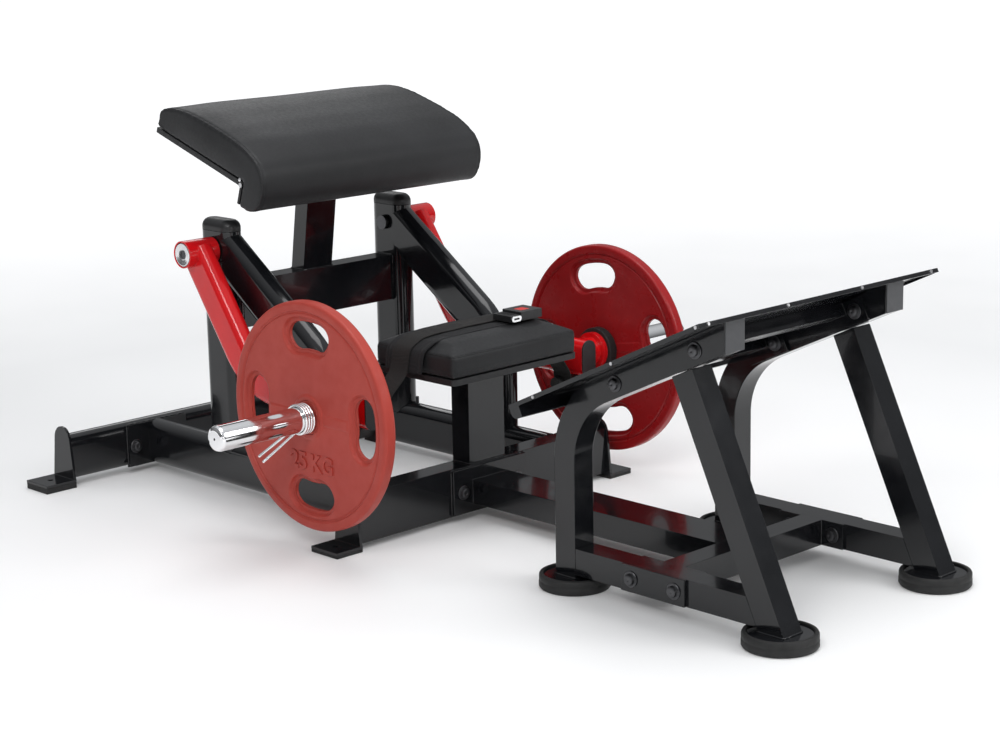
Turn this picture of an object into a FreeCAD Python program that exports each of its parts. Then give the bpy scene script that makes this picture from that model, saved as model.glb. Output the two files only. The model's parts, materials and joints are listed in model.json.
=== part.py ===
import FreeCAD, Part
import math
import os

import Sketcher

# Plate-loaded hip thrust machine, millimetres.
# +X runs from the back pad towards the foot plate, +Y to the sitter's left, +Z up.
# The origin is on the floor, at the middle of the machine's length and width.

DOC = FreeCAD.newDocument("HipThrustMachine")
SHEET = DOC.addObject("Spreadsheet::Sheet", "Sizes")

SIZES = [
    # main tubes: flat ovals and rectangles share one outside size
    ("tube_wide", 50), ("tube_deep", 100), ("tube_wall", 3),
    # floor frame
    ("base_bottom", 12), ("rear_x", -906), ("rear_half", 464), ("front_x", -90), ("front_half", 354),
    ("side_y", 240), ("flange_thick", 8), ("flange_ear", 53), ("flange_low", 15), ("flange_high", 94),
    ("bolt_ear", 35), ("bolt_high", 60), ("bolt_head", 10), ("bolt_head_tall", 7),
    ("washer_round", 15), ("washer_thick", 2.5),
    # anchor feet
    ("foot_thick", 6), ("foot_wide", 78), ("foot_top_round", 28), ("foot_tall", 131),
    ("rear_flange_long", 70), ("front_flange_long", 60), ("rear_pad_thick", 12), ("front_pad_thick", 6),
    ("anchor_hole", 6),
    # tower
    ("tower_x", -606), ("upright_top", 565), ("cap_tall", 24), ("cap_round", 18),
    ("crossbar_low", 352), ("brace_leg_x", -277), ("brace_bend", 150), ("brace_slope", 54.7), ("brace_leg_tall", 134.6),
    ("brace_run", 330), ("stud_x", -540), ("stud_round", 4), ("stud_tall", 16),
    # back pad and its post
    ("post_deep", 40), ("post_wide", 80), ("post_lean", 8.5), ("pad_half", 305), ("pad_slope", 18),
    ("pad_rear_x", -730), ("pad_rear_high", 765.8), ("board_thick", 12), ("board_long", 297), ("lip_thick", 7),
    ("lip_deep", 38), ("pad_gap", 1), ("mount_plate_thick", 6), ("mount_plate_long", 150),
    ("mount_plate_wide", 200), ("screw_round", 5), ("screw_tall", 2.5),
    # seat
    ("seat_front", 26), ("seat_long", 231), ("seat_half", 175), ("seat_low", 310), ("seat_board_thick", 12),
    ("seat_side_tall", 45), ("seat_crown_tall", 17), ("seat_crown_in", 40), ("seat_corner", 12), ("seat_plate_long", 120),
    ("seat_plate_wide", 160), ("seat_plate_thick", 6),
    # arms, pivots and horns
    ("pivot_high", 524), ("pivot_round", 28.5), ("pivot_inner", 268), ("pivot_outer", 345), ("axle_round", 12.5),
    ("axle_gap", 0.05), ("axle_nut", 205), ("nut_round", 16), ("nut_tall", 8), ("hub_cap_round", 24.5),
    ("hub_cap_thick", 4), ("hub_recess", 26), ("arm_y", 305), ("arm_wide", 40), ("arm_deep", 80),
    ("arm_wall", 3), ("arm_high", 273), ("arm_end_x", -67), ("arm_bend", 150), ("arm_slope", 55),
    ("arm_level", 286), ("arm_rise", 228), ("horn_x", -117), ("boss_round", 30), ("boss_end", 365),
    ("collar_round", 40), ("collar_end", 377), ("ring_round", 48), ("plate_inner", 397), ("sleeve_round", 25),
    ("sleeve_end", 650), ("sleeve_dome", 9), ("sleeve_wall", 4), ("sleeve_drill", 2.5),
    ("anchor_bar_round", 13.5), ("anchor_bar_inner", 254), ("anchor_bar_outer", 325),
    # weight plates and clips
    ("plate_round", 224.5), ("plate_thick", 30), ("rim_round", 6), ("groove_round", 203), ("groove_half", 1.5),
    ("groove_deep", 1.5), ("bush_round", 33), ("bush_gap", 0.4), ("hub_raise_round", 41), ("hub_raise", 1.5),
    ("grip_low", 130), ("grip_middle", 156), ("grip_high", 182), ("grip_half_low", 42),
    ("grip_half_middle", 62), ("grip_half_high", 46), ("grip_round", 12), ("grip_recess", 8),
    ("grip_recess_deep", 5), ("left_plate_turn", 9),
    ("wire_round", 2.8), ("clip_turns", 4), ("clip_pitch", 6), ("clip_start", 431), ("clip_reach", 70),
    ("clip_tip", 92), ("clip_turn", 125), ("sleeve_line", 458),
    # belt
    ("strap_x", -109), ("strap_wide", 50), ("strap_thick", 3), ("belt_pad_x", -103),
    ("belt_pad_wide", 106), ("belt_pad_thick", 5), ("buckle_x", -64),
    ("belt_high", 385.4), ("buckle_inner", 48), ("buckle_long", 60), ("buckle_wide", 56), ("buckle_tall", 18),
    ("button_long", 26), ("button_wide", 24), ("button_tall", 5), ("button_gap", 0.3), ("tongue_long", 28),
    ("tongue_wide", 54), ("tongue_tall", 13), ("tongue_gap", 0.5),
    # foot frame
    ("leg_x", 397), ("leg_y", 226), ("foot_slope", 25), ("slope_x", 524), ("slope_high", 407),
    ("leg_tube", 50), ("leg_bend", 160), ("leg_foot", 24), ("leg_rise", 222), ("leg_run", 335),
    ("leg_end_x", 774), ("rear_foot_x", 878), ("side_low", 32), ("cross_x", 615), ("joint_long", 150),
    ("joint_bolt", 50.5), ("joint_thick", 6), ("joint_tall", 46), ("upper_x", 616), ("upper_bolt", 102),
    ("upper_back", 46), ("upper_joint", 100), ("leg_cap_thick", 2.5),
    ("disc_round", 57.5), ("disc_thick", 6), ("foot_ring_round", 67), ("foot_ring_tall", 28),
    ("foot_ring_recess", 58),
    # foot plate
    ("tread_thick", 4), ("tread_half", 337), ("tread_low", -288), ("tread_long", 493), ("skirt_tall", 8),
    ("skirt_thick", 4), ("lip_round", 12), ("lip_long", 25), ("lip_tall", 29),
    ("tread_lift", 0.3), ("tread_screw_round", 3), ("tread_screw_tall", 2),
    ("tread_screw_first", -220), ("tread_screw_pitch", 209),
]


class Size:
    """A length or an angle: its number, and the spreadsheet formula that drives it."""

    def __init__(self, number, formula):
        self.number = float(number)
        self.formula = formula

    def __add__(self, other):
        other = as_size(other)
        return Size(self.number + other.number, f"({self.formula} + {other.formula})")

    def __sub__(self, other):
        other = as_size(other)
        return Size(self.number - other.number, f"({self.formula} - {other.formula})")

    def __mul__(self, other):
        other = as_size(other)
        return Size(self.number * other.number, f"({self.formula} * {other.formula})")

    def __truediv__(self, other):
        other = as_size(other)
        return Size(self.number / other.number, f"({self.formula} / {other.formula})")

    def __neg__(self):
        return Size(-self.number, f"(0 - {self.formula})")

    def __rsub__(self, other):
        return as_size(other) - self

    __radd__ = __add__
    __rmul__ = __mul__


def as_size(item):
    """A plain number used next to sizes becomes a size with a constant formula."""
    if isinstance(item, Size):
        return item
    return Size(item, f"{float(item):.6f}")


def sine(angle):
    return Size(math.sin(math.radians(angle.number)), f"sin({angle.formula} * 1deg)")


def cosine(angle):
    return Size(math.cos(math.radians(angle.number)), f"cos({angle.formula} * 1deg)")


def tangent(angle):
    return Size(math.tan(math.radians(angle.number)), f"tan({angle.formula} * 1deg)")


class Sheet:
    """Sizes by name: D.tube_wide is the size in the cell with that alias."""


D = Sheet()
for row, (alias, number) in enumerate(SIZES, start=1):
    SHEET.set(f"A{row}", alias)
    SHEET.set(f"B{row}", str(number))
    SHEET.setAlias(f"B{row}", alias)
    setattr(D, alias, Size(number, f"Sizes.{alias}"))
DOC.recompute()

ZERO = as_size(0)
SIDES = (("left", 1), ("right", -1))
NODES = []

X_AXIS = FreeCAD.Vector(1, 0, 0)
Y_AXIS = FreeCAD.Vector(0, 1, 0)
Z_AXIS = FreeCAD.Vector(0, 0, 1)
# turns that lay a part's own +Z along a row axis
ALONG = {
    "+z": (Z_AXIS, 0), "-z": (X_AXIS, 180), "+x": (Y_AXIS, 90), "-x": (Y_AXIS, -90),
    "+y": (X_AXIS, -90), "-y": (X_AXIS, 90),
}


def bind(thing, prop, size):
    """Drive one property of an object by a spreadsheet formula."""
    thing.setExpression(prop, as_size(size).formula)


def place(thing, x, y, z, axis=Z_AXIS, angle=0):
    """Put an object at sizes x, y, z, turned by an angle in degrees about an axis."""
    angle = as_size(angle)
    x, y, z = as_size(x), as_size(y), as_size(z)
    thing.Placement = FreeCAD.Placement(
        FreeCAD.Vector(x.number, y.number, z.number), FreeCAD.Rotation(axis, angle.number))
    bind(thing, "Placement.Base.x", x)
    bind(thing, "Placement.Base.y", y)
    bind(thing, "Placement.Base.z", z)
    if angle.formula.find("Sizes.") >= 0:
        bind(thing, "Placement.Rotation.Angle", angle * Size(1, "1deg"))


def node(thing, label):
    """Mark a finished object as one of the machine's pieces."""
    thing.Label = label
    NODES.append(thing)
    return thing


def box(name, long, wide, tall, x, y, z, axis=Z_AXIS, angle=0):
    """A box with its low corner at x, y, z."""
    block = DOC.addObject("Part::Box", name)
    bind(block, "Length", long)
    bind(block, "Width", wide)
    bind(block, "Height", tall)
    place(block, x, y, z, axis, angle)
    return block


def centred_box(name, long, wide, tall, x, y, z):
    """A box centred on x and y that stands on z."""
    return box(name, long, wide, tall, as_size(x) - long / 2, as_size(y) - wide / 2, z)


def rod(name, radius, length, x, y, z, way):
    """A cylinder that starts at x, y, z and runs along one row axis."""
    bar = DOC.addObject("Part::Cylinder", name)
    bind(bar, "Radius", radius)
    bind(bar, "Height", length)
    axis, angle = ALONG[way]
    place(bar, x, y, z, axis, angle)
    return bar


def fuse(name, parts):
    joined = DOC.addObject("Part::MultiFuse", name)
    joined.Shapes = parts
    joined.Refine = True
    return joined


def gather(name, parts):
    """Separate solids that belong to one piece list entry."""
    group = DOC.addObject("Part::Compound", name)
    group.Links = parts
    return group


def cut(name, base, tools):
    left_over = DOC.addObject("Part::Cut", name)
    left_over.Base = base
    left_over.Tool = tools[0] if len(tools) == 1 else fuse(name + "_tools", tools)
    left_over.Refine = True
    return left_over


def start_body(name):
    return DOC.addObject("PartDesign::Body", name)


def start_sketch(body, role, name):
    """A sketch on one of the body's own origin planes."""
    sketch = body.newObject("Sketcher::SketchObject", name)
    plane = [item for item in body.Origin.OriginFeatures if item.Role == role][0]
    sketch.AttachmentSupport = [(plane, "")]
    sketch.MapMode = "FlatFace"
    return sketch


def drive(sketch, constraint, size):
    """Add one measured constraint and bind it to its formula."""
    index = sketch.addConstraint(constraint)
    sketch.setExpression(f"Constraints[{index}]", size.formula)


def hold_point(sketch, shape, end, x, y):
    """Fix one point of a sketch at sizes x, y from the sketch's origin."""
    for kind, line, size in (("DistanceX", -2, x), ("DistanceY", -1, y)):
        if size.number == 0:
            sketch.addConstraint(Sketcher.Constraint("PointOnObject", shape, end, line))
        else:
            drive(sketch, Sketcher.Constraint(kind, -1, 1, shape, end, size.number), size)


def add_polygon(sketch, points):
    """A closed outline through points given as pairs of sizes."""
    points = [(as_size(x), as_size(y)) for x, y in points]
    first = sketch.GeometryCount
    for index, (x, y) in enumerate(points):
        next_x, next_y = points[(index + 1) % len(points)]
        sketch.addGeometry(Part.LineSegment(
            FreeCAD.Vector(x.number, y.number, 0), FreeCAD.Vector(next_x.number, next_y.number, 0)), False)
    for index in range(len(points)):
        after = first + (index + 1) % len(points)
        sketch.addConstraint(Sketcher.Constraint("Coincident", first + index, 2, after, 1))
    for index, (x, y) in enumerate(points):
        hold_point(sketch, first + index, 1, x, y)


def add_rectangle(sketch, wide, tall):
    """A rectangle centred on the sketch's origin."""
    half, rise = wide / 2, tall / 2
    add_polygon(sketch, [(-half, -rise), (half, -rise), (half, rise), (-half, rise)])


def add_flat_oval(sketch, long, wide, upright):
    """Two half circles joined by two flats, centred on the origin and long across or up the sketch."""
    reach, radius = (long - wide) / 2, wide / 2
    spin = 90 if upright else 0
    turn = FreeCAD.Rotation(Z_AXIS, spin)
    first = sketch.GeometryCount
    for way in (1, -1):
        middle = turn.multVec(FreeCAD.Vector(way * reach.number, 0, 0))
        start = math.radians(spin - 90 if way > 0 else spin + 90)
        sketch.addGeometry(Part.ArcOfCircle(
            Part.Circle(middle, Z_AXIS, radius.number), start, start + math.pi), False)
    for way in (1, -1):
        ends = [turn.multVec(FreeCAD.Vector(side * reach.number, way * radius.number, 0)) for side in (way, -way)]
        sketch.addGeometry(Part.LineSegment(ends[0], ends[1]), False)
    near_arc, far_arc, top, bottom = first, first + 1, first + 2, first + 3
    for arc, arc_end, line, line_end in (
            (near_arc, 2, top, 1), (far_arc, 1, top, 2), (far_arc, 2, bottom, 1), (near_arc, 1, bottom, 2)):
        sketch.addConstraint(Sketcher.Constraint("Tangent", arc, arc_end, line, line_end))
    for arc, way in ((near_arc, 1), (far_arc, -1)):
        offset = reach * way
        hold_point(sketch, arc, 3, ZERO if upright else offset, offset if upright else ZERO)
    sketch.addConstraint(Sketcher.Constraint("Equal", near_arc, far_arc))
    drive(sketch, Sketcher.Constraint("Radius", near_arc, radius.number), radius)


def pad(body, sketch, length, backwards=False):
    """Extrude a sketch along its plane's normal, or against it."""
    boss = body.newObject("PartDesign::Pad", sketch.Name + "_pad")
    boss.Profile = sketch
    bind(boss, "Length", length)
    boss.Reversed = backwards
    body.Tip = boss
    return boss


def oval_tube(name, role, upright, long, wide, wall, length, backwards=False):
    """A straight hollow flat-oval tube."""
    body = start_body(name)
    sketch = start_sketch(body, role, name + "_profile")
    add_flat_oval(sketch, long, wide, upright)
    add_flat_oval(sketch, long - wall * 2, wide - wall * 2, upright)
    pad(body, sketch, length, backwards)
    return body


def oval_bar(name, role, upright, long, wide, length, backwards=False):
    """The full outside of a flat-oval tube, used to fit other parts against it."""
    body = start_body(name)
    sketch = start_sketch(body, role, name + "_profile")
    add_flat_oval(sketch, long, wide, upright)
    pad(body, sketch, length, backwards)
    return body


def box_tube(name, role, wide, tall, wall, length, backwards=False):
    """A straight hollow rectangular tube."""
    body = start_body(name)
    sketch = start_sketch(body, role, name + "_profile")
    add_rectangle(sketch, wide, tall)
    add_rectangle(sketch, wide - wall * 2, tall - wall * 2)
    pad(body, sketch, length, backwards)
    return body


def outline_body(name, role, points, length, backwards=False):
    """A solid extruded from a closed outline."""
    body = start_body(name)
    sketch = start_sketch(body, role, name + "_outline")
    add_polygon(sketch, points)
    pad(body, sketch, length, backwards)
    return body


def bent_path(body, name, first_run, bend_radius, turn, second_run, start_way, bend_way):
    """A path in the XZ plane: a straight run, one arc and a second straight run."""
    sketch = start_sketch(body, "XZ_Plane", name)
    ahead = FreeCAD.Vector(start_way[0], start_way[1], 0)
    aside = FreeCAD.Vector(bend_way[0], bend_way[1], 0)
    radius, angle = bend_radius.number, math.radians(turn.number)
    knee = ahead * first_run.number
    centre = knee + aside * radius
    after = centre - aside * (radius * math.cos(angle)) + ahead * (radius * math.sin(angle))
    end = after + (ahead * math.cos(angle) + aside * math.sin(angle)) * second_run.number
    from_angle = math.atan2(knee.y - centre.y, knee.x - centre.x)
    to_angle = math.atan2(after.y - centre.y, after.x - centre.x)
    turns_left = ahead.x * aside.y - ahead.y * aside.x > 0
    first_angle, last_angle = (from_angle, to_angle) if turns_left else (to_angle, from_angle)
    if last_angle < first_angle:
        last_angle += 2 * math.pi
    sketch.addGeometry(Part.LineSegment(FreeCAD.Vector(0, 0, 0), knee), False)
    sketch.addGeometry(Part.ArcOfCircle(Part.Circle(centre, Z_AXIS, radius), first_angle, last_angle), False)
    sketch.addGeometry(Part.LineSegment(after, end), False)
    arc_start = 1 if turns_left else 2
    sketch.addConstraint(Sketcher.Constraint("Coincident", 0, 1, -1, 1))
    sketch.addConstraint(Sketcher.Constraint("Vertical" if start_way[0] == 0 else "Horizontal", 0))
    sketch.addConstraint(Sketcher.Constraint("Tangent", 0, 2, 1, arc_start))
    sketch.addConstraint(Sketcher.Constraint("Tangent", 1, 3 - arc_start, 2, 1))
    drive(sketch, Sketcher.Constraint("Distance", 0, first_run.number), first_run)
    drive(sketch, Sketcher.Constraint("Radius", 1, radius), bend_radius)
    drive(sketch, Sketcher.Constraint("Distance", 2, second_run.number), second_run)
    run_x = (cosine(turn) * start_way[0] + sine(turn) * bend_way[0]) * second_run
    drive(sketch, Sketcher.Constraint("DistanceX", 2, 1, 2, 2, run_x.number), run_x)
    return sketch


def sweep(body, profile, path):
    pipe = body.newObject("PartDesign::AdditivePipe", profile.Name + "_sweep")
    pipe.Profile = profile
    pipe.Spine = path
    pipe.Mode = "Standard"
    body.Tip = pipe


BASE_TOP = D.base_bottom + D.tube_deep
SLOPE_TAN = tangent(D.foot_slope)
SLOPE_COS = cosine(D.foot_slope)
SLOPE_SIN = sine(D.foot_slope)


def slope_height(x):
    """Height of the foot frame's sloping centre line at x."""
    return D.slope_high + (as_size(x) - D.slope_x) * SLOPE_TAN


# ---------------------------------------------------------------- floor frame
rear_beam = oval_tube("rear_beam", "XZ_Plane", True, D.tube_deep, D.tube_wide, D.tube_wall, D.rear_half * 2)
place(rear_beam, D.rear_x, D.rear_half, D.base_bottom + D.tube_deep / 2)
node(rear_beam, "rear_cross_beam")

front_beam = box_tube("front_beam", "XZ_Plane", D.tube_wide, D.tube_deep, D.tube_wall, D.front_half * 2)
place(front_beam, D.front_x, D.front_half, D.base_bottom + D.tube_deep / 2)
node(front_beam, "front_cross_beam")


def foot_outline(low):
    """Tapered upright plate with a many-sided round top, centred on x."""
    radius = D.foot_top_round
    centre = D.foot_tall - radius
    arc = []
    for step in range(0, 9):
        angle = math.radians(10 + step * 20)
        arc.append((radius * math.cos(angle), centre + radius * math.sin(angle)))
    return [(-D.foot_wide / 2, low), (D.foot_wide / 2, low)] + arc


def anchor_foot(name, x, half, flange_long, low, sign):
    """Upright end plate with a drilled outward foot flange, and the drilled rubber pad under the flange."""
    plate = outline_body(name + "_plate", "XZ_Plane", foot_outline(low), D.foot_thick, sign > 0)
    place(plate, x, half * sign, 0)
    reach = flange_long + D.foot_thick
    middle_y = (half + reach / 2) * sign
    flange = centred_box(name + "_flange", D.foot_wide, reach, D.foot_thick, x, middle_y, low)
    block = centred_box(name + "_pad_block", D.foot_wide, reach, low, x, middle_y, 0)
    hole_y = (half + D.foot_thick + flange_long / 2) * sign
    holes = [rod(f"{name}_hole_{part}", D.anchor_hole, D.foot_tall / 2, x, hole_y, -D.foot_thick, "+z")
             for part in ("flange", "pad")]
    foot = cut(name + "_drilled", fuse(name + "_weldment", [plate, flange]), [holes[0]])
    return foot, cut(name + "_pad", block, [holes[1]])


pad_blocks = []
for side, sign in SIDES:
    for end, x, half, flange_long, low in (
            ("rear", D.rear_x, D.rear_half, D.rear_flange_long, D.rear_pad_thick),
            ("front", D.front_x, D.front_half, D.front_flange_long, D.front_pad_thick)):
        name = f"{end}_foot_{side}"
        foot, pad_block = anchor_foot(name, x, half, flange_long, low, sign)
        node(foot, name)
        pad_blocks.append(pad_block)
node(gather("anchor_pads", pad_blocks), "anchor_foot_pads")

beam_rear = D.rear_x + D.tube_wide / 2
beam_front = D.front_x - D.tube_wide / 2
flange_wide = D.tube_wide + D.flange_ear * 2
bolt_parts = []


def bolt(name, x, y, z, way):
    """Washer and round head that stand on a face and point one way."""
    reach = D.washer_thick * (1 if way[0] == "+" else -1)
    step = {"x": (reach, 0, 0), "y": (0, reach, 0)}[way[1]]
    washer = rod(name + "_washer", D.washer_round, D.washer_thick, x, y, z, way)
    head = rod(name + "_head", D.bolt_head, D.bolt_head_tall, as_size(x) + step[0], as_size(y) + step[1], z, way)
    bolt_parts.append(fuse(name, [washer, head]))


for side, sign in SIDES:
    name = "base_beam_" + side
    tube = oval_tube(name + "_tube", "YZ_Plane", True, D.tube_deep, D.tube_wide, D.tube_wall,
                     beam_front - beam_rear - D.flange_thick * 2)
    place(tube, beam_rear + D.flange_thick, D.side_y * sign, D.base_bottom + D.tube_deep / 2)
    plates = [box(f"{name}_flange_{end}", D.flange_thick, flange_wide, D.flange_high, start,
                  D.side_y * sign - flange_wide / 2, D.flange_low)
              for end, start in (("rear", beam_rear), ("front", beam_front - D.flange_thick))]
    node(fuse(name, [tube] + plates), name)
    for ear in (-1, 1):
        ear_y = D.side_y * sign + (D.tube_wide / 2 + D.bolt_ear) * ear
        tag = f"{side}_{'outer' if ear == sign else 'inner'}"
        bolt("rear_bolt_" + tag, beam_rear + D.flange_thick, ear_y, D.bolt_high, "+x")
        bolt("front_bolt_" + tag, beam_front - D.flange_thick, ear_y, D.bolt_high, "-x")

# centre beam, from the front cross beam to the foot frame
seat_face = D.front_x + D.tube_wide / 2
cross_rear = D.cross_x - D.tube_wide / 2
centre_tube = box_tube("centre_tube", "YZ_Plane", D.tube_deep, D.tube_wide, D.tube_wall,
                       cross_rear - seat_face - D.flange_thick)
place(centre_tube, seat_face + D.flange_thick, 0, D.side_low + D.tube_wide / 2)
centre_flange = box("centre_flange", D.flange_thick, D.tube_deep + D.flange_ear * 2, D.flange_high, seat_face,
                    -(D.tube_deep / 2 + D.flange_ear), D.flange_low)
node(fuse("centre_beam_weldment", [centre_tube, centre_flange]), "centre_beam")
for side, sign in SIDES:
    bolt("centre_bolt_" + side, seat_face + D.flange_thick, (D.tube_deep / 2 + D.bolt_ear * 0.75) * sign,
         D.bolt_high, "+x")

# ---------------------------------------------------------------- tower
studs = []
caps = []
for side, sign in SIDES:
    y = D.side_y * sign
    # the outside of the base beam below, which the upright and the brace are shaped to
    beam_top = oval_bar("beam_outside_" + side, "YZ_Plane", True, D.tube_deep, D.tube_wide,
                        beam_front - beam_rear)
    place(beam_top, beam_rear, y, D.base_bottom + D.tube_deep / 2)

    upright = oval_tube("upright_tube_" + side, "XY_Plane", False, D.tube_deep, D.tube_wide, D.tube_wall,
                        D.upright_top - BASE_TOP + D.tube_wide / 2)
    place(upright, D.tower_x, y, BASE_TOP - D.tube_wide / 2)
    axle_hole = rod("upright_hole_" + side, D.axle_round + D.axle_gap, D.tube_deep, D.tower_x,
                    y - D.tube_deep / 2, D.pivot_high, "+y")
    node(cut("upright_cut_" + side, upright, [beam_top, axle_hole]), "upright_" + side)

    cap = oval_bar("cap_" + side, "XY_Plane", False, D.tube_deep, D.tube_wide, D.cap_tall)
    place(cap, D.tower_x, y, D.upright_top)
    caps.append(cap)

    brace = start_body("brace_tube_" + side)
    path = bent_path(brace, "brace_path_" + side, D.brace_leg_tall, D.brace_bend, D.brace_slope, D.brace_run,
                     (0, 1), (-1, 0))
    profile = start_sketch(brace, "XY_Plane", "brace_profile_" + side)
    add_flat_oval(profile, D.tube_deep, D.tube_wide, False)
    add_flat_oval(profile, D.tube_deep - D.tube_wall * 2, D.tube_wide - D.tube_wall * 2, False)
    sweep(brace, profile, path)
    place(brace, D.brace_leg_x, y, BASE_TOP - D.tube_wide / 2)
    upright_outside = oval_bar("upright_outside_" + side, "XY_Plane", False, D.tube_deep, D.tube_wide,
                               D.upright_top)
    place(upright_outside, D.tower_x, y, BASE_TOP)
    node(cut("brace_cut_" + side, brace, [beam_top, upright_outside]), "brace_" + side)

    studs.append(rod("stud_" + side, D.stud_round, D.stud_tall, D.stud_x, y, BASE_TOP, "+z"))

for cap in caps:
    dome = cap.newObject("PartDesign::Fillet", cap.Name + "_dome")
    base = cap.Tip if cap.Tip is not dome else None
    DOC.recompute()
    top_edges = []
    pad_shape = cap.Group[-2].Shape
    for index, edge in enumerate(pad_shape.Edges, start=1):
        if edge.BoundBox.ZMin > D.cap_tall.number - 0.01:
            top_edges.append(f"Edge{index}")
    dome.Base = (cap.Group[-2], top_edges)
    bind(dome, "Radius", D.cap_round)
    cap.Tip = dome
node(gather("caps", caps), "upright_caps")

crossbar = box_tube("crossbar_tube", "XZ_Plane", D.tube_wide, D.tube_deep, D.tube_wall,
                    (D.side_y - D.tube_wide / 2) * 2)
place(crossbar, D.tower_x, D.side_y - D.tube_wide / 2, D.crossbar_low + D.tube_deep / 2)
node(crossbar, "crossbar")

# ---------------------------------------------------------------- back pad
# The pad's own frame starts at the board's lower rear edge; x runs down the slope and z leaves the board.
PAD_COS = cosine(D.pad_slope)
PAD_SIN = sine(D.pad_slope)


def pad_point(along, off):
    """Row x and z of a point given along the board and off its lower face."""
    along, off = as_size(along), as_size(off)
    return (D.pad_rear_x + along * PAD_COS + off * PAD_SIN, D.pad_rear_high - along * PAD_SIN + off * PAD_COS)


def lay_on_slope(thing, along, y, off):
    x, z = pad_point(along, off)
    place(thing, x, y, z, Y_AXIS, D.pad_slope)


board = outline_body("board_outline", "XZ_Plane", [
    (0, 0), (D.board_long - D.lip_thick, 0), (D.board_long - D.lip_thick, -D.lip_deep),
    (D.board_long, -D.lip_deep), (D.board_long, D.board_thick), (0, D.board_thick)], D.pad_half * 2)
lay_on_slope(board, 0, D.pad_half, 0)
node(board, "back_pad_board")

under = D.board_thick + D.pad_gap
nose = D.board_long + D.pad_gap
cushion = outline_body("cushion_outline", "XZ_Plane", [
    (1, under), (1, 45), (14, 60), (40, 70), (75, 77), (120, 82), (200, 84), (265, 81), (300, 75), (328, 66),
    (346, 52), (357, 32), (361, 4), (356, -20), (344, -35), (328, -41), (nose, -41), (nose, under)],
    D.pad_half * 2)
lay_on_slope(cushion, 0, D.pad_half, 0)
node(cushion, "back_pad")

post_foot = D.crossbar_low + D.tube_deep
mount_along = 165
mount_plate = box("mount_plate", D.mount_plate_long, D.mount_plate_wide, D.mount_plate_thick, 0, 0, 0)
lay_on_slope(mount_plate, mount_along - D.mount_plate_long / 2, -D.mount_plate_wide / 2, -D.mount_plate_thick)
node(mount_plate, "pad_mounting_plate")
post = box_tube("post_tube", "XY_Plane", D.post_deep, D.post_wide, D.tube_wall, D.tube_deep * 4)
place(post, D.tower_x - tangent(D.post_lean) * D.tube_wide, 0, post_foot - D.tube_wide, Y_AXIS, D.post_lean)
post_foot_trim = centred_box("post_foot_trim", D.tube_deep * 2, D.tube_deep * 2, D.tube_deep, D.tower_x, 0,
                             post_foot - D.tube_deep)
post_head_trim = box("post_head_trim", D.board_long * 2, D.mount_plate_wide, D.tube_deep * 4, 0, 0, 0)
lay_on_slope(post_head_trim, -D.board_long / 2, -D.mount_plate_wide / 2, -D.mount_plate_thick)
node(cut("post_cut", post, [post_foot_trim, post_head_trim]), "pad_post")

# ---------------------------------------------------------------- seat
seat_post = box_tube("seat_post_tube", "XY_Plane", D.tube_wide, D.tube_deep, D.tube_wall,
                     D.seat_low - D.seat_plate_thick - BASE_TOP)
place(seat_post, D.front_x, 0, BASE_TOP)
seat_plate = centred_box("seat_plate", D.seat_plate_long, D.seat_plate_wide, D.seat_plate_thick,
                         D.front_x, 0, D.seat_low - D.seat_plate_thick)
node(fuse("seat_post_weldment", [seat_post, seat_plate]), "seat_post")

seat_x = D.seat_front - D.seat_long / 2


def round_corners(body, base, radius, tall):
    """Fillet the upright corner edges of an extruded block."""
    corners = [f"Edge{index}" for index, edge in enumerate(base.Shape.Edges, start=1)
               if abs(edge.BoundBox.ZLength - tall.number) < 0.01]
    fillet = body.newObject("PartDesign::Fillet", base.Name + "_corners")
    fillet.Base = (base, corners)
    bind(fillet, "Radius", radius)
    body.Tip = fillet
    return fillet


seat_board = start_body("seat_board_block")
board_sketch = start_sketch(seat_board, "XY_Plane", "seat_board_outline")
add_rectangle(board_sketch, D.seat_long, D.seat_half * 2)
board_boss = pad(seat_board, board_sketch, D.seat_board_thick)
place(seat_board, seat_x, 0, D.seat_low)
DOC.recompute()
round_corners(seat_board, board_boss, D.seat_corner, D.seat_board_thick)
node(seat_board, "seat_board")
# the cushion: straight sides under a crown whose edges slope in
pad_low = D.seat_low + D.seat_board_thick + D.pad_gap
sides = centred_box("seat_sides", D.seat_long, D.seat_half * 2, D.seat_side_tall, seat_x, 0, pad_low)
crown = DOC.addObject("Part::Wedge", "seat_crown")
for axis, reach in (("X", D.seat_long / 2), ("Z", D.seat_half)):
    bind(crown, axis + "min", -reach)
    bind(crown, axis + "max", reach)
    bind(crown, axis + "2min", D.seat_crown_in - reach)
    bind(crown, axis + "2max", reach - D.seat_crown_in)
bind(crown, "Ymin", ZERO)
bind(crown, "Ymax", D.seat_crown_tall)
place(crown, seat_x, 0, pad_low + D.seat_side_tall, X_AXIS, 90)
seat_pad = fuse("seat_cushion", [sides, crown])
node(seat_pad, "seat_pad")

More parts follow.
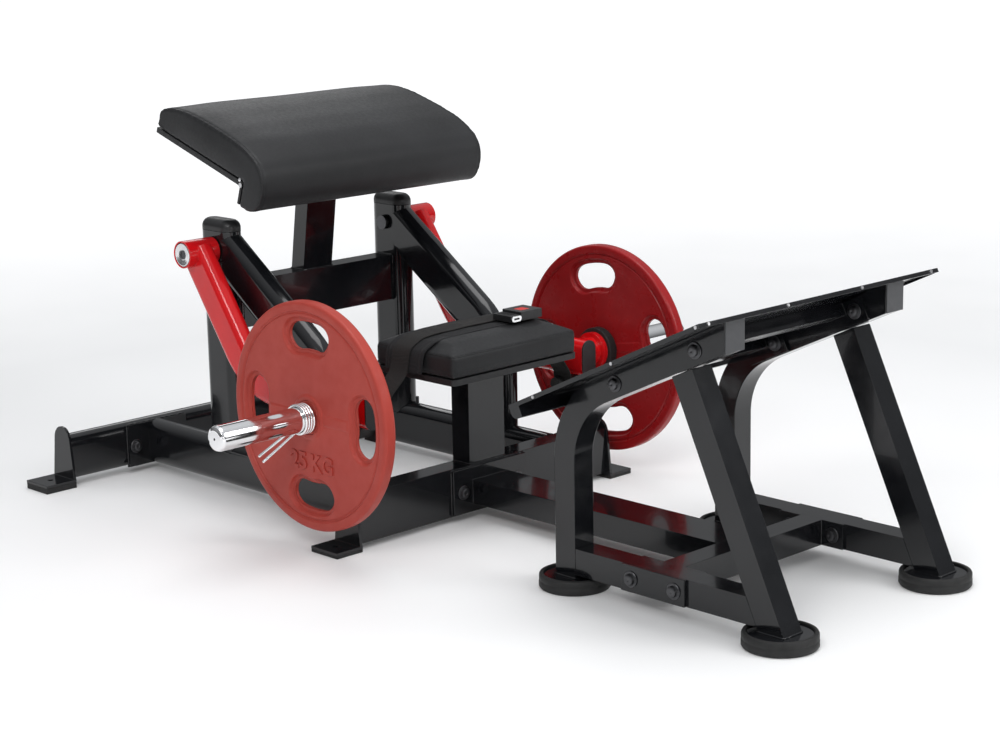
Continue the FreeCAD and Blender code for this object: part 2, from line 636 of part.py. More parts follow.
# ---------------------------------------------------------------- pivots and arms
axle_parts = []
hub_caps = []
for side, sign in SIDES:
    way = "+y" if sign > 0 else "-y"
    shaft = rod("axle_shaft_" + side, D.axle_round, D.pivot_outer - D.hub_cap_thick - D.axle_nut, D.tower_x,
                D.axle_nut * sign, D.pivot_high, way)
    nut = rod("axle_nut_" + side, D.nut_round, D.nut_tall, D.tower_x, D.axle_nut * sign, D.pivot_high, way)
    axle_parts.append(fuse("axle_" + side, [shaft, nut]))
    disc = rod("hub_disc_" + side, D.hub_cap_round, D.hub_cap_thick, D.tower_x,
               (D.pivot_outer - D.hub_cap_thick) * sign, D.pivot_high, way)
    socket = rod("hub_socket_" + side, D.axle_round * 0.45, D.hub_cap_thick, D.tower_x,
                 (D.pivot_outer - D.hub_cap_thick / 2) * sign, D.pivot_high, way)
    hub_caps.append(cut("hub_cap_" + side, disc, [socket]))

    # arm: level run at the horn, one bend, then up to the pivot tube
    arm_tube = start_body("arm_tube_" + side)
    path = bent_path(arm_tube, "arm_path_" + side, D.arm_level, D.arm_bend, D.arm_slope, D.arm_rise, (-1, 0),
                     (0, 1))
    profile = start_sketch(arm_tube, "YZ_Plane", "arm_profile_" + side)
    add_flat_oval(profile, D.arm_deep, D.arm_wide, True)
    add_flat_oval(profile, D.arm_deep - D.arm_wall * 2, D.arm_wide - D.arm_wall * 2, True)
    sweep(arm_tube, profile, path)
    place(arm_tube, D.arm_end_x, D.arm_y * sign, D.arm_high)
    hub = rod("arm_hub_" + side, D.pivot_round, D.pivot_outer - D.pivot_inner, D.tower_x, D.pivot_inner * sign,
              D.pivot_high, way)
    boss = rod("horn_boss_" + side, D.boss_round, D.boss_end - D.arm_y - D.arm_wide / 2, D.horn_x,
               (D.arm_y + D.arm_wide / 2) * sign, D.arm_high, way)
    collar = rod("horn_collar_" + side, D.collar_round, D.collar_end - D.boss_end, D.horn_x, D.boss_end * sign,
                 D.arm_high, way)
    weldment = fuse("arm_weldment_" + side, [arm_tube, hub, boss, collar])
    bore = rod("arm_bore_" + side, D.axle_round + D.axle_gap, D.tube_deep, D.tower_x, D.pivot_inner * sign,
               D.pivot_high, way)
    recess = rod("arm_recess_" + side, D.hub_recess, D.tube_wide, D.tower_x,
                 (D.pivot_outer - D.hub_cap_thick - 1) * sign, D.pivot_high, way)
    node(cut("arm_cut_" + side, weldment, [bore, recess]), "arm_" + side)

    plug = oval_bar("arm_plug_" + side, "YZ_Plane", True, D.arm_deep, D.arm_wide, D.arm_wall)
    place(plug, D.arm_end_x, D.arm_y * sign, D.arm_high)
    node(plug, "arm_end_cap_" + side)

    ring_disc = rod("ring_disc_" + side, D.ring_round, D.plate_inner - D.collar_end, D.horn_x,
                    D.collar_end * sign, D.arm_high, way)
    ring_hole = rod("ring_hole_" + side, D.sleeve_round + D.bush_gap, D.tube_wide, D.horn_x,
                    D.collar_end * sign, D.arm_high, way)
    node(cut("ring_cut_" + side, ring_disc, [ring_hole]), "horn_ring_" + side)

    # sleeve: revolved about its own axis, with a domed end
    sleeve = start_body("sleeve_" + side)
    half_section = start_sketch(sleeve, "XZ_Plane", "sleeve_section_" + side)
    reach = D.sleeve_end - D.collar_end
    inner = D.sleeve_round - D.sleeve_wall
    line, line_half = D.sleeve_line - D.collar_end, as_size(0.4)
    add_polygon(half_section, [
        (inner, 0), (D.sleeve_round, 0), (D.sleeve_round, line - line_half),
        (D.sleeve_round - line_half, line - line_half), (D.sleeve_round - line_half, line + line_half),
        (D.sleeve_round, line + line_half), (D.sleeve_round, reach - D.sleeve_dome),
        (D.sleeve_round - D.sleeve_dome / 4, reach - D.sleeve_dome / 3), (D.sleeve_round * 0.62, reach),
        (D.sleeve_drill, reach), (D.sleeve_drill, reach - D.sleeve_wall), (inner, reach - D.sleeve_dome)])
    turned = sleeve.newObject("PartDesign::Revolution", "sleeve_turned_" + side)
    turned.Profile = half_section
    turned.ReferenceAxis = (half_section, ["V_Axis"])
    turned.Angle = 360
    sleeve.Tip = turned
    place(sleeve, D.horn_x, D.collar_end * sign, D.arm_high, X_AXIS, -90 * sign)
    node(sleeve, "horn_sleeve_" + side)

    node(rod("anchor_bar_" + side, D.anchor_bar_round, D.anchor_bar_outer - D.anchor_bar_inner, D.horn_x,
             D.anchor_bar_inner * sign, D.arm_high - D.arm_deep / 2 - D.anchor_bar_round, way),
         "strap_anchor_" + side)
node(gather("axles", axle_parts), "pivot_axles")
node(gather("hub_caps", hub_caps), "pivot_end_caps")

# ---------------------------------------------------------------- weight plates and clips
# Each plate is built lying flat, its inner face at z = 0, and turned on to the horn.


def grip_outline(grow):
    """A hand hole above the hub, widest past its middle; grow moves every side outwards."""
    low, middle, high = D.grip_low - grow, D.grip_middle, D.grip_high + grow
    low_half, middle_half, high_half = D.grip_half_low + grow, D.grip_half_middle + grow, D.grip_half_high + grow
    return [(-low_half, low), (low_half, low), (middle_half, middle), (high_half, high), (-high_half, high),
            (-middle_half, middle)]


def grip_tool(name, grow, low, tall, spin):
    body = outline_body(name, "XY_Plane", grip_outline(grow), tall)
    DOC.recompute()
    round_corners(body, body.Tip, D.grip_round, tall)
    place(body, 0, 0, low, Z_AXIS, spin)
    return body


def on_horn(thing, start, sign, spin):
    """Turn a flat-built thing on to the horn at |y| = start, spun about the horn's own axis in degrees."""
    turn = FreeCAD.Rotation(X_AXIS, -90 * sign) * FreeCAD.Rotation(Z_AXIS, spin)
    place(thing, D.horn_x, start * sign, D.arm_high)
    thing.Placement = FreeCAD.Placement(thing.Placement.Base, turn)


for side, sign in SIDES:
    disc = start_body("plate_disc_" + side)
    section = start_sketch(disc, "XZ_Plane", "plate_section_" + side)
    thick, rim, half, deep = D.plate_thick, D.rim_round, D.groove_half, D.groove_deep
    hub, lift = D.hub_raise_round, D.hub_raise
    add_polygon(section, [
        (D.bush_round, 0), (hub, 0), (hub + lift, lift), (D.groove_round - half, lift),
        (D.groove_round, lift + deep), (D.groove_round + half, lift), (D.plate_round - rim, lift),
        (D.plate_round - rim * 0.3, lift + rim * 0.3), (D.plate_round, rim + lift),
        (D.plate_round, thick - rim - lift), (D.plate_round - rim * 0.3, thick - lift - rim * 0.3),
        (D.plate_round - rim, thick - lift), (D.groove_round + half, thick - lift),
        (D.groove_round, thick - lift - deep), (D.groove_round - half, thick - lift), (hub + lift, thick - lift),
        (hub, thick), (D.bush_round, thick)])
    turned = disc.newObject("PartDesign::Revolution", "plate_turned_" + side)
    turned.Profile = section
    turned.ReferenceAxis = (section, ["V_Axis"])
    turned.Angle = 360
    disc.Tip = turned
    windows = []
    for turn in range(4):
        spin = turn * 90
        tag = f"{side}_{turn}"
        windows.append(grip_tool("grip_hole_" + tag, ZERO, -D.tube_wide, D.tube_deep + D.tube_wide, spin))
        for face, low in (("inner", lift - D.tube_wide), ("outer", thick - lift)):
            reach = D.grip_recess_deep if face == "outer" else ZERO
            windows.append(grip_tool(f"grip_recess_{face}_{tag}", D.grip_recess, low - reach,
                                     D.tube_wide + D.grip_recess_deep, spin))
    plate = cut("plate_flat_" + side, disc, windows)
    on_horn(plate, D.plate_inner, sign, -D.left_plate_turn.number if sign > 0 else 0)
    node(plate, "weight_plate_" + side)

    bush_disc = rod("bush_disc_" + side, D.bush_round, D.plate_thick, D.horn_x, D.plate_inner * sign, D.arm_high,
                    "+y" if sign > 0 else "-y")
    bush_hole = rod("bush_hole_" + side, D.sleeve_round + D.bush_gap, D.tube_deep, D.horn_x,
                    (D.plate_inner - D.tube_wall) * sign, D.arm_high, "+y" if sign > 0 else "-y")
    node(cut("bush_cut_" + side, bush_disc, [bush_hole]), "plate_bush_" + side)

    # spring clip: turns of wire with two handles that slant outwards from its ends
    coil_round = D.sleeve_round + D.bush_gap + D.wire_round
    coil_tall = D.clip_pitch * D.clip_turns
    coil = DOC.addObject("Part::Helix", "clip_path_" + side)
    bind(coil, "Radius", coil_round)
    bind(coil, "Pitch", D.clip_pitch)
    bind(coil, "Height", coil_tall)
    wire = DOC.addObject("Part::Circle", "clip_wire_" + side)
    bind(wire, "Radius", D.wire_round)
    place(wire, coil_round, 0, 0, X_AXIS, 90)
    spring = DOC.addObject("Part::Sweep", "clip_coil_" + side)
    spring.Sections = [wire]
    spring.Spine = (coil, [])
    spring.Solid = True
    spring.Frenet = True
    clip_parts = [spring]
    for end, (start, aside) in enumerate(((ZERO, 9), (coil_tall, -6))):
        tip = FreeCAD.Vector(D.clip_tip.number, aside, D.clip_reach.number)
        root = FreeCAD.Vector(coil_round.number, 0, start.number)
        bar = DOC.addObject("Part::Cylinder", f"clip_handle_{side}_{end}")
        bind(bar, "Radius", D.wire_round)
        bar.Height = (tip - root).Length
        bar.Placement = FreeCAD.Placement(root, FreeCAD.Rotation(Z_AXIS, tip - root))
        clip_parts.append(bar)
        for where in (root, tip):
            ball = DOC.addObject("Part::Sphere", f"clip_end_{side}_{end}")
            bind(ball, "Radius", D.wire_round)
            ball.Placement.Base = where
            clip_parts.append(ball)
    clip = fuse("clip_" + side, clip_parts)
    on_horn(clip, D.clip_start, sign, D.clip_turn.number * sign)
    node(clip, "spring_clip_" + side)

# ---------------------------------------------------------------- belt
# Each run is one side's line as y and z pairs, from the middle of the seat outwards.
over_seat = [(138, D.belt_high), (168, D.belt_high - 12.2), (181, D.belt_high - 21), (186, D.belt_high - 60)]
hanging = [(214, 304), (238, 284), (262, 250), (267, 240), (267, 196)]


def both_sides(run):
    near = [(-as_size(y), as_size(z)) for y, z in reversed(run)]
    return near + [(as_size(y), as_size(z)) for y, z in run]


def offset(line, distance):
    """Step an open line of sizes sideways, keeping every run parallel to itself."""
    moved = []
    for index, (y, z) in enumerate(line):
        runs = []
        for first, second in ((index - 1, index), (index, index + 1)):
            if first >= 0 and second < len(line):
                runs.append(math.atan2(line[second][1].number - line[first][1].number,
                                       line[second][0].number - line[first][0].number))
        middle = sum(runs) / len(runs)
        reach = distance / math.cos(middle - runs[0])
        moved.append((y - reach * math.sin(middle), z + reach * math.cos(middle)))
    return moved


def thicken(line, thick):
    """Close an open line into a band on its outer side."""
    return line + offset(line, thick)[::-1]


# the padded sleeve lies on the seat and the webbing runs over it, then down to the anchor bars
pad_line = both_sides(over_seat)
belt_pad = outline_body("belt_pad_outline", "YZ_Plane", thicken(pad_line, D.belt_pad_thick), D.belt_pad_wide)
place(belt_pad, D.belt_pad_x - D.belt_pad_wide / 2, 0, 0)
node(belt_pad, "belt_pad")

tails = both_sides(hanging)
strap_line = tails[:len(hanging)] + offset(pad_line, D.belt_pad_thick + D.tongue_gap) + tails[len(hanging):]
strap = outline_body("strap_outline", "YZ_Plane", thicken(strap_line, D.strap_thick), D.strap_wide)
place(strap, D.strap_x - D.strap_wide / 2, 0, 0)
eyes = [rod("strap_eye_" + side, D.anchor_bar_round + 0.5, D.tube_deep, D.horn_x, 220 * sign,
            D.arm_high - D.arm_deep / 2 - D.anchor_bar_round, "+y" if sign > 0 else "-y")
        for side, sign in SIDES]
node(cut("strap_cut", strap, eyes), "belt_strap")

buckle_low = D.belt_high + D.belt_pad_thick + D.strap_thick + D.tongue_gap * 2
buckle_y = D.buckle_inner + D.tongue_long + D.tongue_gap
buckle_block = box("buckle_block", D.buckle_wide, D.buckle_long, D.buckle_tall,
                   D.buckle_x - D.buckle_wide / 2, buckle_y, buckle_low)
button_pocket = box("button_pocket", D.button_wide, D.button_long, D.button_tall * 2,
                    D.buckle_x - D.button_wide / 2, buckle_y + D.buckle_long / 4,
                    buckle_low + D.buckle_tall - D.button_tall)
node(cut("buckle_cut", buckle_block, [button_pocket]), "buckle_body")
node(box("button_block", D.button_wide - D.button_gap * 2, D.button_long - D.button_gap * 2,
         D.button_tall - D.button_gap * 5, D.buckle_x - D.button_wide / 2 + D.button_gap,
         buckle_y + D.buckle_long / 4 + D.button_gap, buckle_low + D.buckle_tall - D.button_tall + D.button_gap * 4),
     "buckle_button")
node(box("tongue_block", D.tongue_wide, D.tongue_long, D.tongue_tall, D.buckle_x - D.tongue_wide / 2,
         D.buckle_inner, buckle_low), "buckle_tongue")

# ---------------------------------------------------------------- foot frame
leg_caps = []
joint_plates = []
side_tubes = []
discs = []
rings = []
half_tube = D.leg_tube / 2
rear_leg_long = Size(520, "520")
for side, sign in SIDES:
    y = D.leg_y * sign
    leg = start_body("bent_leg_tube_" + side)
    path = bent_path(leg, "bent_leg_path_" + side, D.leg_rise, D.leg_bend, as_size(90) - D.foot_slope,
                     D.leg_run, (0, 1), (1, 0))
    profile = start_sketch(leg, "XY_Plane", "bent_leg_profile_" + side)
    add_rectangle(profile, D.leg_tube, D.leg_tube)
    add_rectangle(profile, D.leg_tube - D.tube_wall * 2, D.leg_tube - D.tube_wall * 2)
    sweep(leg, profile, path)
    place(leg, D.leg_x, y, D.leg_foot)
    trim = box("leg_trim_" + side, D.tube_deep, D.tube_deep, D.tube_deep * 3, D.leg_end_x, y - D.tube_wide,
               D.slope_high)
    node(cut("bent_leg_cut_" + side, leg, [trim]), "bent_leg_" + side)
    end_high = slope_height(D.leg_end_x) - half_tube / SLOPE_COS
    leg_caps.append(centred_box("leg_cap_" + side, D.leg_cap_thick, D.leg_tube, D.leg_tube / SLOPE_COS,
                                D.leg_end_x + D.leg_cap_thick / 2, y, end_high))

    # the rear leg leaves the sloping tube at a right angle and is cut level at its foot
    rear_leg = box_tube("rear_leg_tube_" + side, "XY_Plane", D.leg_tube, D.leg_tube, D.tube_wall, rear_leg_long)
    start_x = D.rear_foot_x + D.tube_wide * SLOPE_SIN
    start_z = D.leg_foot - D.tube_wide * SLOPE_COS
    place(rear_leg, start_x, y, start_z, Y_AXIS, -D.foot_slope)
    floor_trim = centred_box("rear_leg_floor_" + side, D.tube_deep * 3, D.tube_deep, D.tube_deep, D.rear_foot_x, y,
                             D.leg_foot - D.tube_deep)
    slope_trim = box("rear_leg_slope_" + side, D.tube_deep * 4, D.tube_deep, D.tube_deep * 2,
                     D.leg_end_x - D.tube_deep * 3 * SLOPE_COS + half_tube * SLOPE_SIN, y - D.tube_wide,
                     slope_height(D.leg_end_x) - D.tube_deep * 3 * SLOPE_SIN - half_tube * SLOPE_COS, Y_AXIS,
                     -D.foot_slope)
    node(cut("rear_leg_cut_" + side, rear_leg, [floor_trim, slope_trim]), "rear_leg_" + side)

    rear_outside = box("rear_leg_outside_" + side, D.leg_tube, D.leg_tube, rear_leg_long,
                       start_x - half_tube * SLOPE_COS, y - half_tube, start_z - half_tube * SLOPE_SIN, Y_AXIS,
                       -D.foot_slope)
    low_tube = box_tube("side_tube_" + side, "YZ_Plane", D.leg_tube, D.leg_tube, D.tube_wall,
                        D.rear_foot_x - D.leg_x - half_tube)
    place(low_tube, D.leg_x + half_tube, y, D.side_low + half_tube)
    beyond = box("side_tube_trim_" + side, D.tube_deep, D.tube_deep, D.tube_deep, D.rear_foot_x - half_tube,
                 y - D.tube_wide, 0)
    side_tubes.append(cut("side_tube_cut_" + side, low_tube, [rear_outside, beyond]))

    joint_plates.append(centred_box("joint_plate_" + side, D.joint_long, D.joint_thick, D.leg_tube, D.cross_x,
                                    (D.leg_y + half_tube + D.joint_thick / 2) * sign, D.side_low))
    out, back_in = ("+y", "-y") if sign > 0 else ("-y", "+y")
    for step in (-1, 1):
        x = D.cross_x + D.joint_bolt * step
        z = D.side_low + half_tube
        bolt(f"joint_bolt_{side}_{step + 1}", x, (D.leg_y + half_tube + D.joint_thick) * sign, z, out)
        bolt(f"joint_nut_{side}_{step + 1}", x, (D.leg_y - half_tube - D.joint_thick) * sign, z, back_in)
        x = D.upper_x + D.upper_bolt * SLOPE_COS * step
        bolt(f"upper_bolt_{side}_{step + 1}", x, (D.leg_y + half_tube) * sign, slope_height(x), out)
        bolt(f"upper_nut_{side}_{step + 1}", x, (D.leg_y - half_tube - D.joint_thick) * sign, slope_height(x),
             back_in)
    for end, x in (("front", D.leg_x), ("rear", D.rear_foot_x)):
        tag = f"{end}_{side}"
        discs.append(rod("disc_" + tag, D.disc_round, D.disc_thick, x, y, D.leg_foot - D.disc_thick, "+z"))
        tyre = rod("ring_block_" + tag, D.foot_ring_round, D.foot_ring_tall, x, y, 0, "+z")
        well = rod("ring_well_" + tag, D.foot_ring_recess, D.foot_ring_tall, x, y, D.leg_foot - D.disc_thick,
                   "+z")
        rings.append(cut("foot_ring_" + tag, tyre, [well]))

node(gather("leg_end_caps", leg_caps), "bent_leg_caps")
node(gather("side_tube_pair", side_tubes), "side_tubes")
node(gather("joint_plate_pair", joint_plates), "joint_plates")
node(gather("foot_disc_set", discs), "foot_discs")
node(gather("foot_ring_set", rings), "foot_rings")

inner_face = D.leg_y - half_tube
cross_half = inner_face - D.joint_thick
cross = box_tube("cross_tube", "XZ_Plane", D.tube_wide, D.leg_tube, D.tube_wall, cross_half * 2)
place(cross, D.cross_x, cross_half, D.side_low + half_tube)
cross_ends = [centred_box("cross_end_" + side, D.joint_long, D.joint_thick, D.leg_tube, D.cross_x,
                          (inner_face - D.joint_thick / 2) * sign, D.side_low) for side, sign in SIDES]
node(fuse("cross_weldment", [cross] + cross_ends), "lower_cross_tube")

upper_members = []
for end, way in (("low", -1), ("high", 1)):
    # each shallow member stands just down the slope from its two end bolts, under the foot plate
    along = D.upper_bolt * way - D.upper_back
    off = half_tube / 2
    tube = box_tube("upper_tube_" + end, "XZ_Plane", D.leg_tube, half_tube, D.tube_wall, cross_half * 2)
    place(tube, D.upper_x + along * SLOPE_COS - off * SLOPE_SIN, cross_half,
          slope_height(D.upper_x) + along * SLOPE_SIN + off * SLOPE_COS, Y_AXIS, -D.foot_slope)
    start = D.upper_bolt * way + half_tube - D.upper_joint
    rise = D.joint_tall / 2
    plates = [box(f"upper_end_{end}_{side}", D.upper_joint, D.joint_thick, D.joint_tall,
                  D.upper_x + start * SLOPE_COS + rise * SLOPE_SIN,
                  inner_face * sign - (D.joint_thick if sign > 0 else ZERO),
                  slope_height(D.upper_x) + start * SLOPE_SIN - rise * SLOPE_COS, Y_AXIS, -D.foot_slope)
              for side, sign in SIDES]
    upper_members.append(fuse("upper_member_" + end, [tube] + plates))
node(gather("upper_members", upper_members), "upper_cross_tubes")
node(gather("bolt_set", bolt_parts + studs), "frame_bolts")

# ---------------------------------------------------------------- foot plate
# Built in the slope's own frame: along it from its middle point, and off the tubes' middle line.
top_edge = D.tread_low + D.tread_long


def slope_part(thing, along, y, off):
    """Lay a thing on the sloping tubes."""
    along, off = as_size(along), as_size(off)
    place(thing, D.upper_x + along * SLOPE_COS - off * SLOPE_SIN, y,
          slope_height(D.upper_x) + along * SLOPE_SIN + off * SLOPE_COS, Y_AXIS, -D.foot_slope)
    return thing


def slope_box(name, long, wide, tall, along, y, off):
    return slope_part(box(name, long, wide, tall, 0, 0, 0), along, y, off)


tread_off = half_tube + D.tread_lift
skirt_off = tread_off + D.tread_thick - D.skirt_tall
tread_bits = [
    slope_box("tread", D.tread_long, D.tread_half * 2, D.tread_thick, D.tread_low, -D.tread_half, tread_off),
    slope_box("skirt_top", D.skirt_thick, D.tread_half * 2, D.skirt_tall, top_edge - D.skirt_thick, -D.tread_half,
              skirt_off)]
for side, sign in SIDES:
    skirt_y = D.tread_half - D.skirt_thick if sign > 0 else -D.tread_half
    tread_bits.append(slope_box("skirt_" + side, D.tread_long, D.skirt_thick, D.skirt_tall, D.tread_low, skirt_y,
                                skirt_off))
# the low edge turns down in a solid nose, rounded at both of its outer corners
nose = [(D.lip_long, 0), (D.lip_long, -D.lip_tall)]
for level, first in ((D.lip_round - D.lip_tall, 270), (-D.lip_round, 180)):
    for step in range(5):
        angle = math.radians(first - 90 * step / 4)
        nose.append((D.lip_round + D.lip_round * math.cos(angle), level + D.lip_round * math.sin(angle)))
tread_bits.append(slope_part(outline_body("lip_nose", "XZ_Plane", nose, D.tread_half * 2), D.tread_low, D.tread_half,
                             tread_off + D.tread_thick))
node(fuse("tread_weldment", tread_bits), "foot_plate")

screws = []
screw_off = tread_off
for side, sign in SIDES:
    for count in range(3):
        along = D.tread_screw_first + D.tread_screw_pitch * count
        x = D.upper_x + along * SLOPE_COS - screw_off * SLOPE_SIN
        z = slope_height(D.upper_x) + along * SLOPE_SIN + screw_off * SLOPE_COS
        screws.append(rod(f"tread_screw_{side}_{count}", D.tread_screw_round, D.tread_screw_tall, x,
                          D.tread_half * sign, z, "+y" if sign > 0 else "-y"))
for count in range(4):
    y = D.tread_screw_pitch * (count - 1.5)
    screw = rod(f"tread_screw_top_{count}", D.tread_screw_round, D.tread_screw_tall, 0, 0, 0, "+z")
    place(screw, D.upper_x + top_edge * SLOPE_COS - screw_off * SLOPE_SIN, y,
          slope_height(D.upper_x) + top_edge * SLOPE_SIN + screw_off * SLOPE_COS, Y_AXIS,
          as_size(90) - D.foot_slope)
    screws.append(screw)
for side, sign in SIDES:
    x, z = pad_point(D.board_long - 3, D.board_thick / 3)
    screws.append(rod("board_screw_" + side, D.screw_round, D.screw_tall, x, D.pad_half * sign, z,
                      "+y" if sign > 0 else "-y"))
node(gather("screw_set", screws), "trim_screws")

# ---------------------------------------------------------------- export
DOC.recompute()
problems = []
for thing in DOC.Objects:
    if "Invalid" in thing.State or "Error" in thing.State:
        problems.append(f"{thing.Name}: {thing.State}")
os.makedirs("parts", exist_ok=True)
for thing in NODES:
    shape = thing.Shape
    if shape.isNull() or not shape.isValid() or not shape.Solids:
        problems.append(f"{thing.Label}: bad shape")
        continue
    shape.exportStep(f"parts/{thing.Label}.step")
print("nodes", len(NODES))
for problem in problems:
    print("PROBLEM", problem)
if problems:
    raise SystemExit(1)
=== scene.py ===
import json
import math
import random

import bmesh
import bpy
import numpy
from mathutils import Matrix, Vector, geometry
from mathutils.bvhtree import BVHTree
from mathutils.kdtree import KDTree


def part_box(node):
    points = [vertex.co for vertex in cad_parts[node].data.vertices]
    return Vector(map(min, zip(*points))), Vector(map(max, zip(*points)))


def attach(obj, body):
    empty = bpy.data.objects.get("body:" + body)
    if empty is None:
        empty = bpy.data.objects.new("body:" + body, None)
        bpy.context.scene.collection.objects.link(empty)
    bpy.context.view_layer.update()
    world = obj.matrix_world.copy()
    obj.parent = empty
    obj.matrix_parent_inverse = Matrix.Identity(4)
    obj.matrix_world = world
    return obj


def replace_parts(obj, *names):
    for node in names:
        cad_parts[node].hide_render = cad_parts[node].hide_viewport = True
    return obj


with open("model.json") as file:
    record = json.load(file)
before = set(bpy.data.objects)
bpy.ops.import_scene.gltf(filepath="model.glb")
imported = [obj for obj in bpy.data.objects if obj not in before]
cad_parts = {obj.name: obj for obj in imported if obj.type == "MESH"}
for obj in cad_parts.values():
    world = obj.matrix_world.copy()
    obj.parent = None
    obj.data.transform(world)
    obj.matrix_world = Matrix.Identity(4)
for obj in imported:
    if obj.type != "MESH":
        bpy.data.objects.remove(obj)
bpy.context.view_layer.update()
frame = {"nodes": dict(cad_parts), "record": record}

NODES = frame["nodes"]
SIDES = (("left", 1), ("right", -1))
SCENE = bpy.context.scene
MM = 0.001
RNG = random.Random(7)
X, Y, Z = Vector((1, 0, 0)), Vector((0, 1, 0)), Vector((0, 0, 1))


# ---------------------------------------------------------------- camera, light and floor
def aim_camera():
    """The viewing angle: from the foot end and the right, a little above the seat, slightly rolled."""
    azimuth, elevation, roll = (math.radians(angle) for angle in (45.771, 12.767, -1.083))
    back = Vector((math.sin(azimuth) * math.cos(elevation), -math.cos(azimuth) * math.cos(elevation),
                   math.sin(elevation)))
    level = Z.cross(back).normalized()
    rise = back.cross(level)
    right = level * math.cos(roll) + rise * math.sin(roll)
    up = rise * math.cos(roll) - level * math.sin(roll)
    lens = bpy.data.cameras.new("camera")
    lens.lens, lens.sensor_width = 80.9, 36
    camera = bpy.data.objects.new("camera", lens)
    eye = Matrix.Translation((3.142, -3.081, 1.308))
    camera.matrix_world = eye @ Matrix((right, up, back)).transposed().to_4x4()
    SCENE.collection.objects.link(camera)
    SCENE.camera = camera


def soft_box(name, place, target, wide, tall, watts):
    """A rectangular area light aimed at a point."""
    lamp = bpy.data.lights.new(name, "AREA")
    lamp.shape = "RECTANGLE"
    lamp.size, lamp.size_y, lamp.energy = wide, tall, watts
    holder = bpy.data.objects.new(name, lamp)
    holder.location = place
    holder.rotation_euler = (Vector(target) - Vector(place)).to_track_quat("-Z", "Y").to_euler()
    SCENE.collection.objects.link(holder)


def light_studio():
    middle = (0, 0, 0.4)
    soft_box("key_light", (3.8, 1.6, 2.8), middle, 2.4, 2.0, 78)
    soft_box("side_light", (1.9, -3.6, 3.3), middle, 2.0, 1.2, 66)
    soft_box("front_strip", (4.2, -1.4, 1.0), (0.7, -0.2, 0.3), 0.5, 1.6, 16)
    soft_box("top_light", (0.3, 0.2, 4.2), middle, 2.6, 2.2, 62)
    soft_box("back_light", (-3.6, 2.2, 2.6), middle, 1.6, 1.2, 12)
    SCENE.world = studio_world()
    SCENE.view_settings.view_transform = "Standard"


def studio_world():
    """A white backdrop that lights the machine like a room: pale ceiling, dim walls."""
    world = bpy.data.worlds.new("studio")
    world.use_nodes = True
    nodes, links = world.node_tree.nodes, world.node_tree.links
    room = nodes["Background"]
    backdrop = nodes.new("ShaderNodeBackground")
    backdrop.inputs["Color"].default_value = (1, 1, 1, 1)
    direction = nodes.new("ShaderNodeTexCoord").outputs["Generated"]
    parts = nodes.new("ShaderNodeSeparateXYZ")
    links.new(direction, parts.inputs["Vector"])
    ramp = nodes.new("ShaderNodeMapRange")
    for key, value in (("From Min", 0.1), ("From Max", 0.95), ("To Min", 0.12), ("To Max", 0.8)):
        ramp.inputs[key].default_value = value
    links.new(parts.outputs["Z"], ramp.inputs["Value"])
    links.new(ramp.outputs["Result"], room.inputs["Strength"])
    room.inputs["Color"].default_value = (0.95, 0.97, 1, 1)
    chooser = nodes.new("ShaderNodeMixShader")
    links.new(nodes.new("ShaderNodeLightPath").outputs["Is Camera Ray"], chooser.inputs["Fac"])
    links.new(room.outputs["Background"], chooser.inputs[1])
    links.new(backdrop.outputs["Background"], chooser.inputs[2])
    links.new(chooser.outputs["Shader"], nodes["World Output"].inputs["Surface"])
    return world


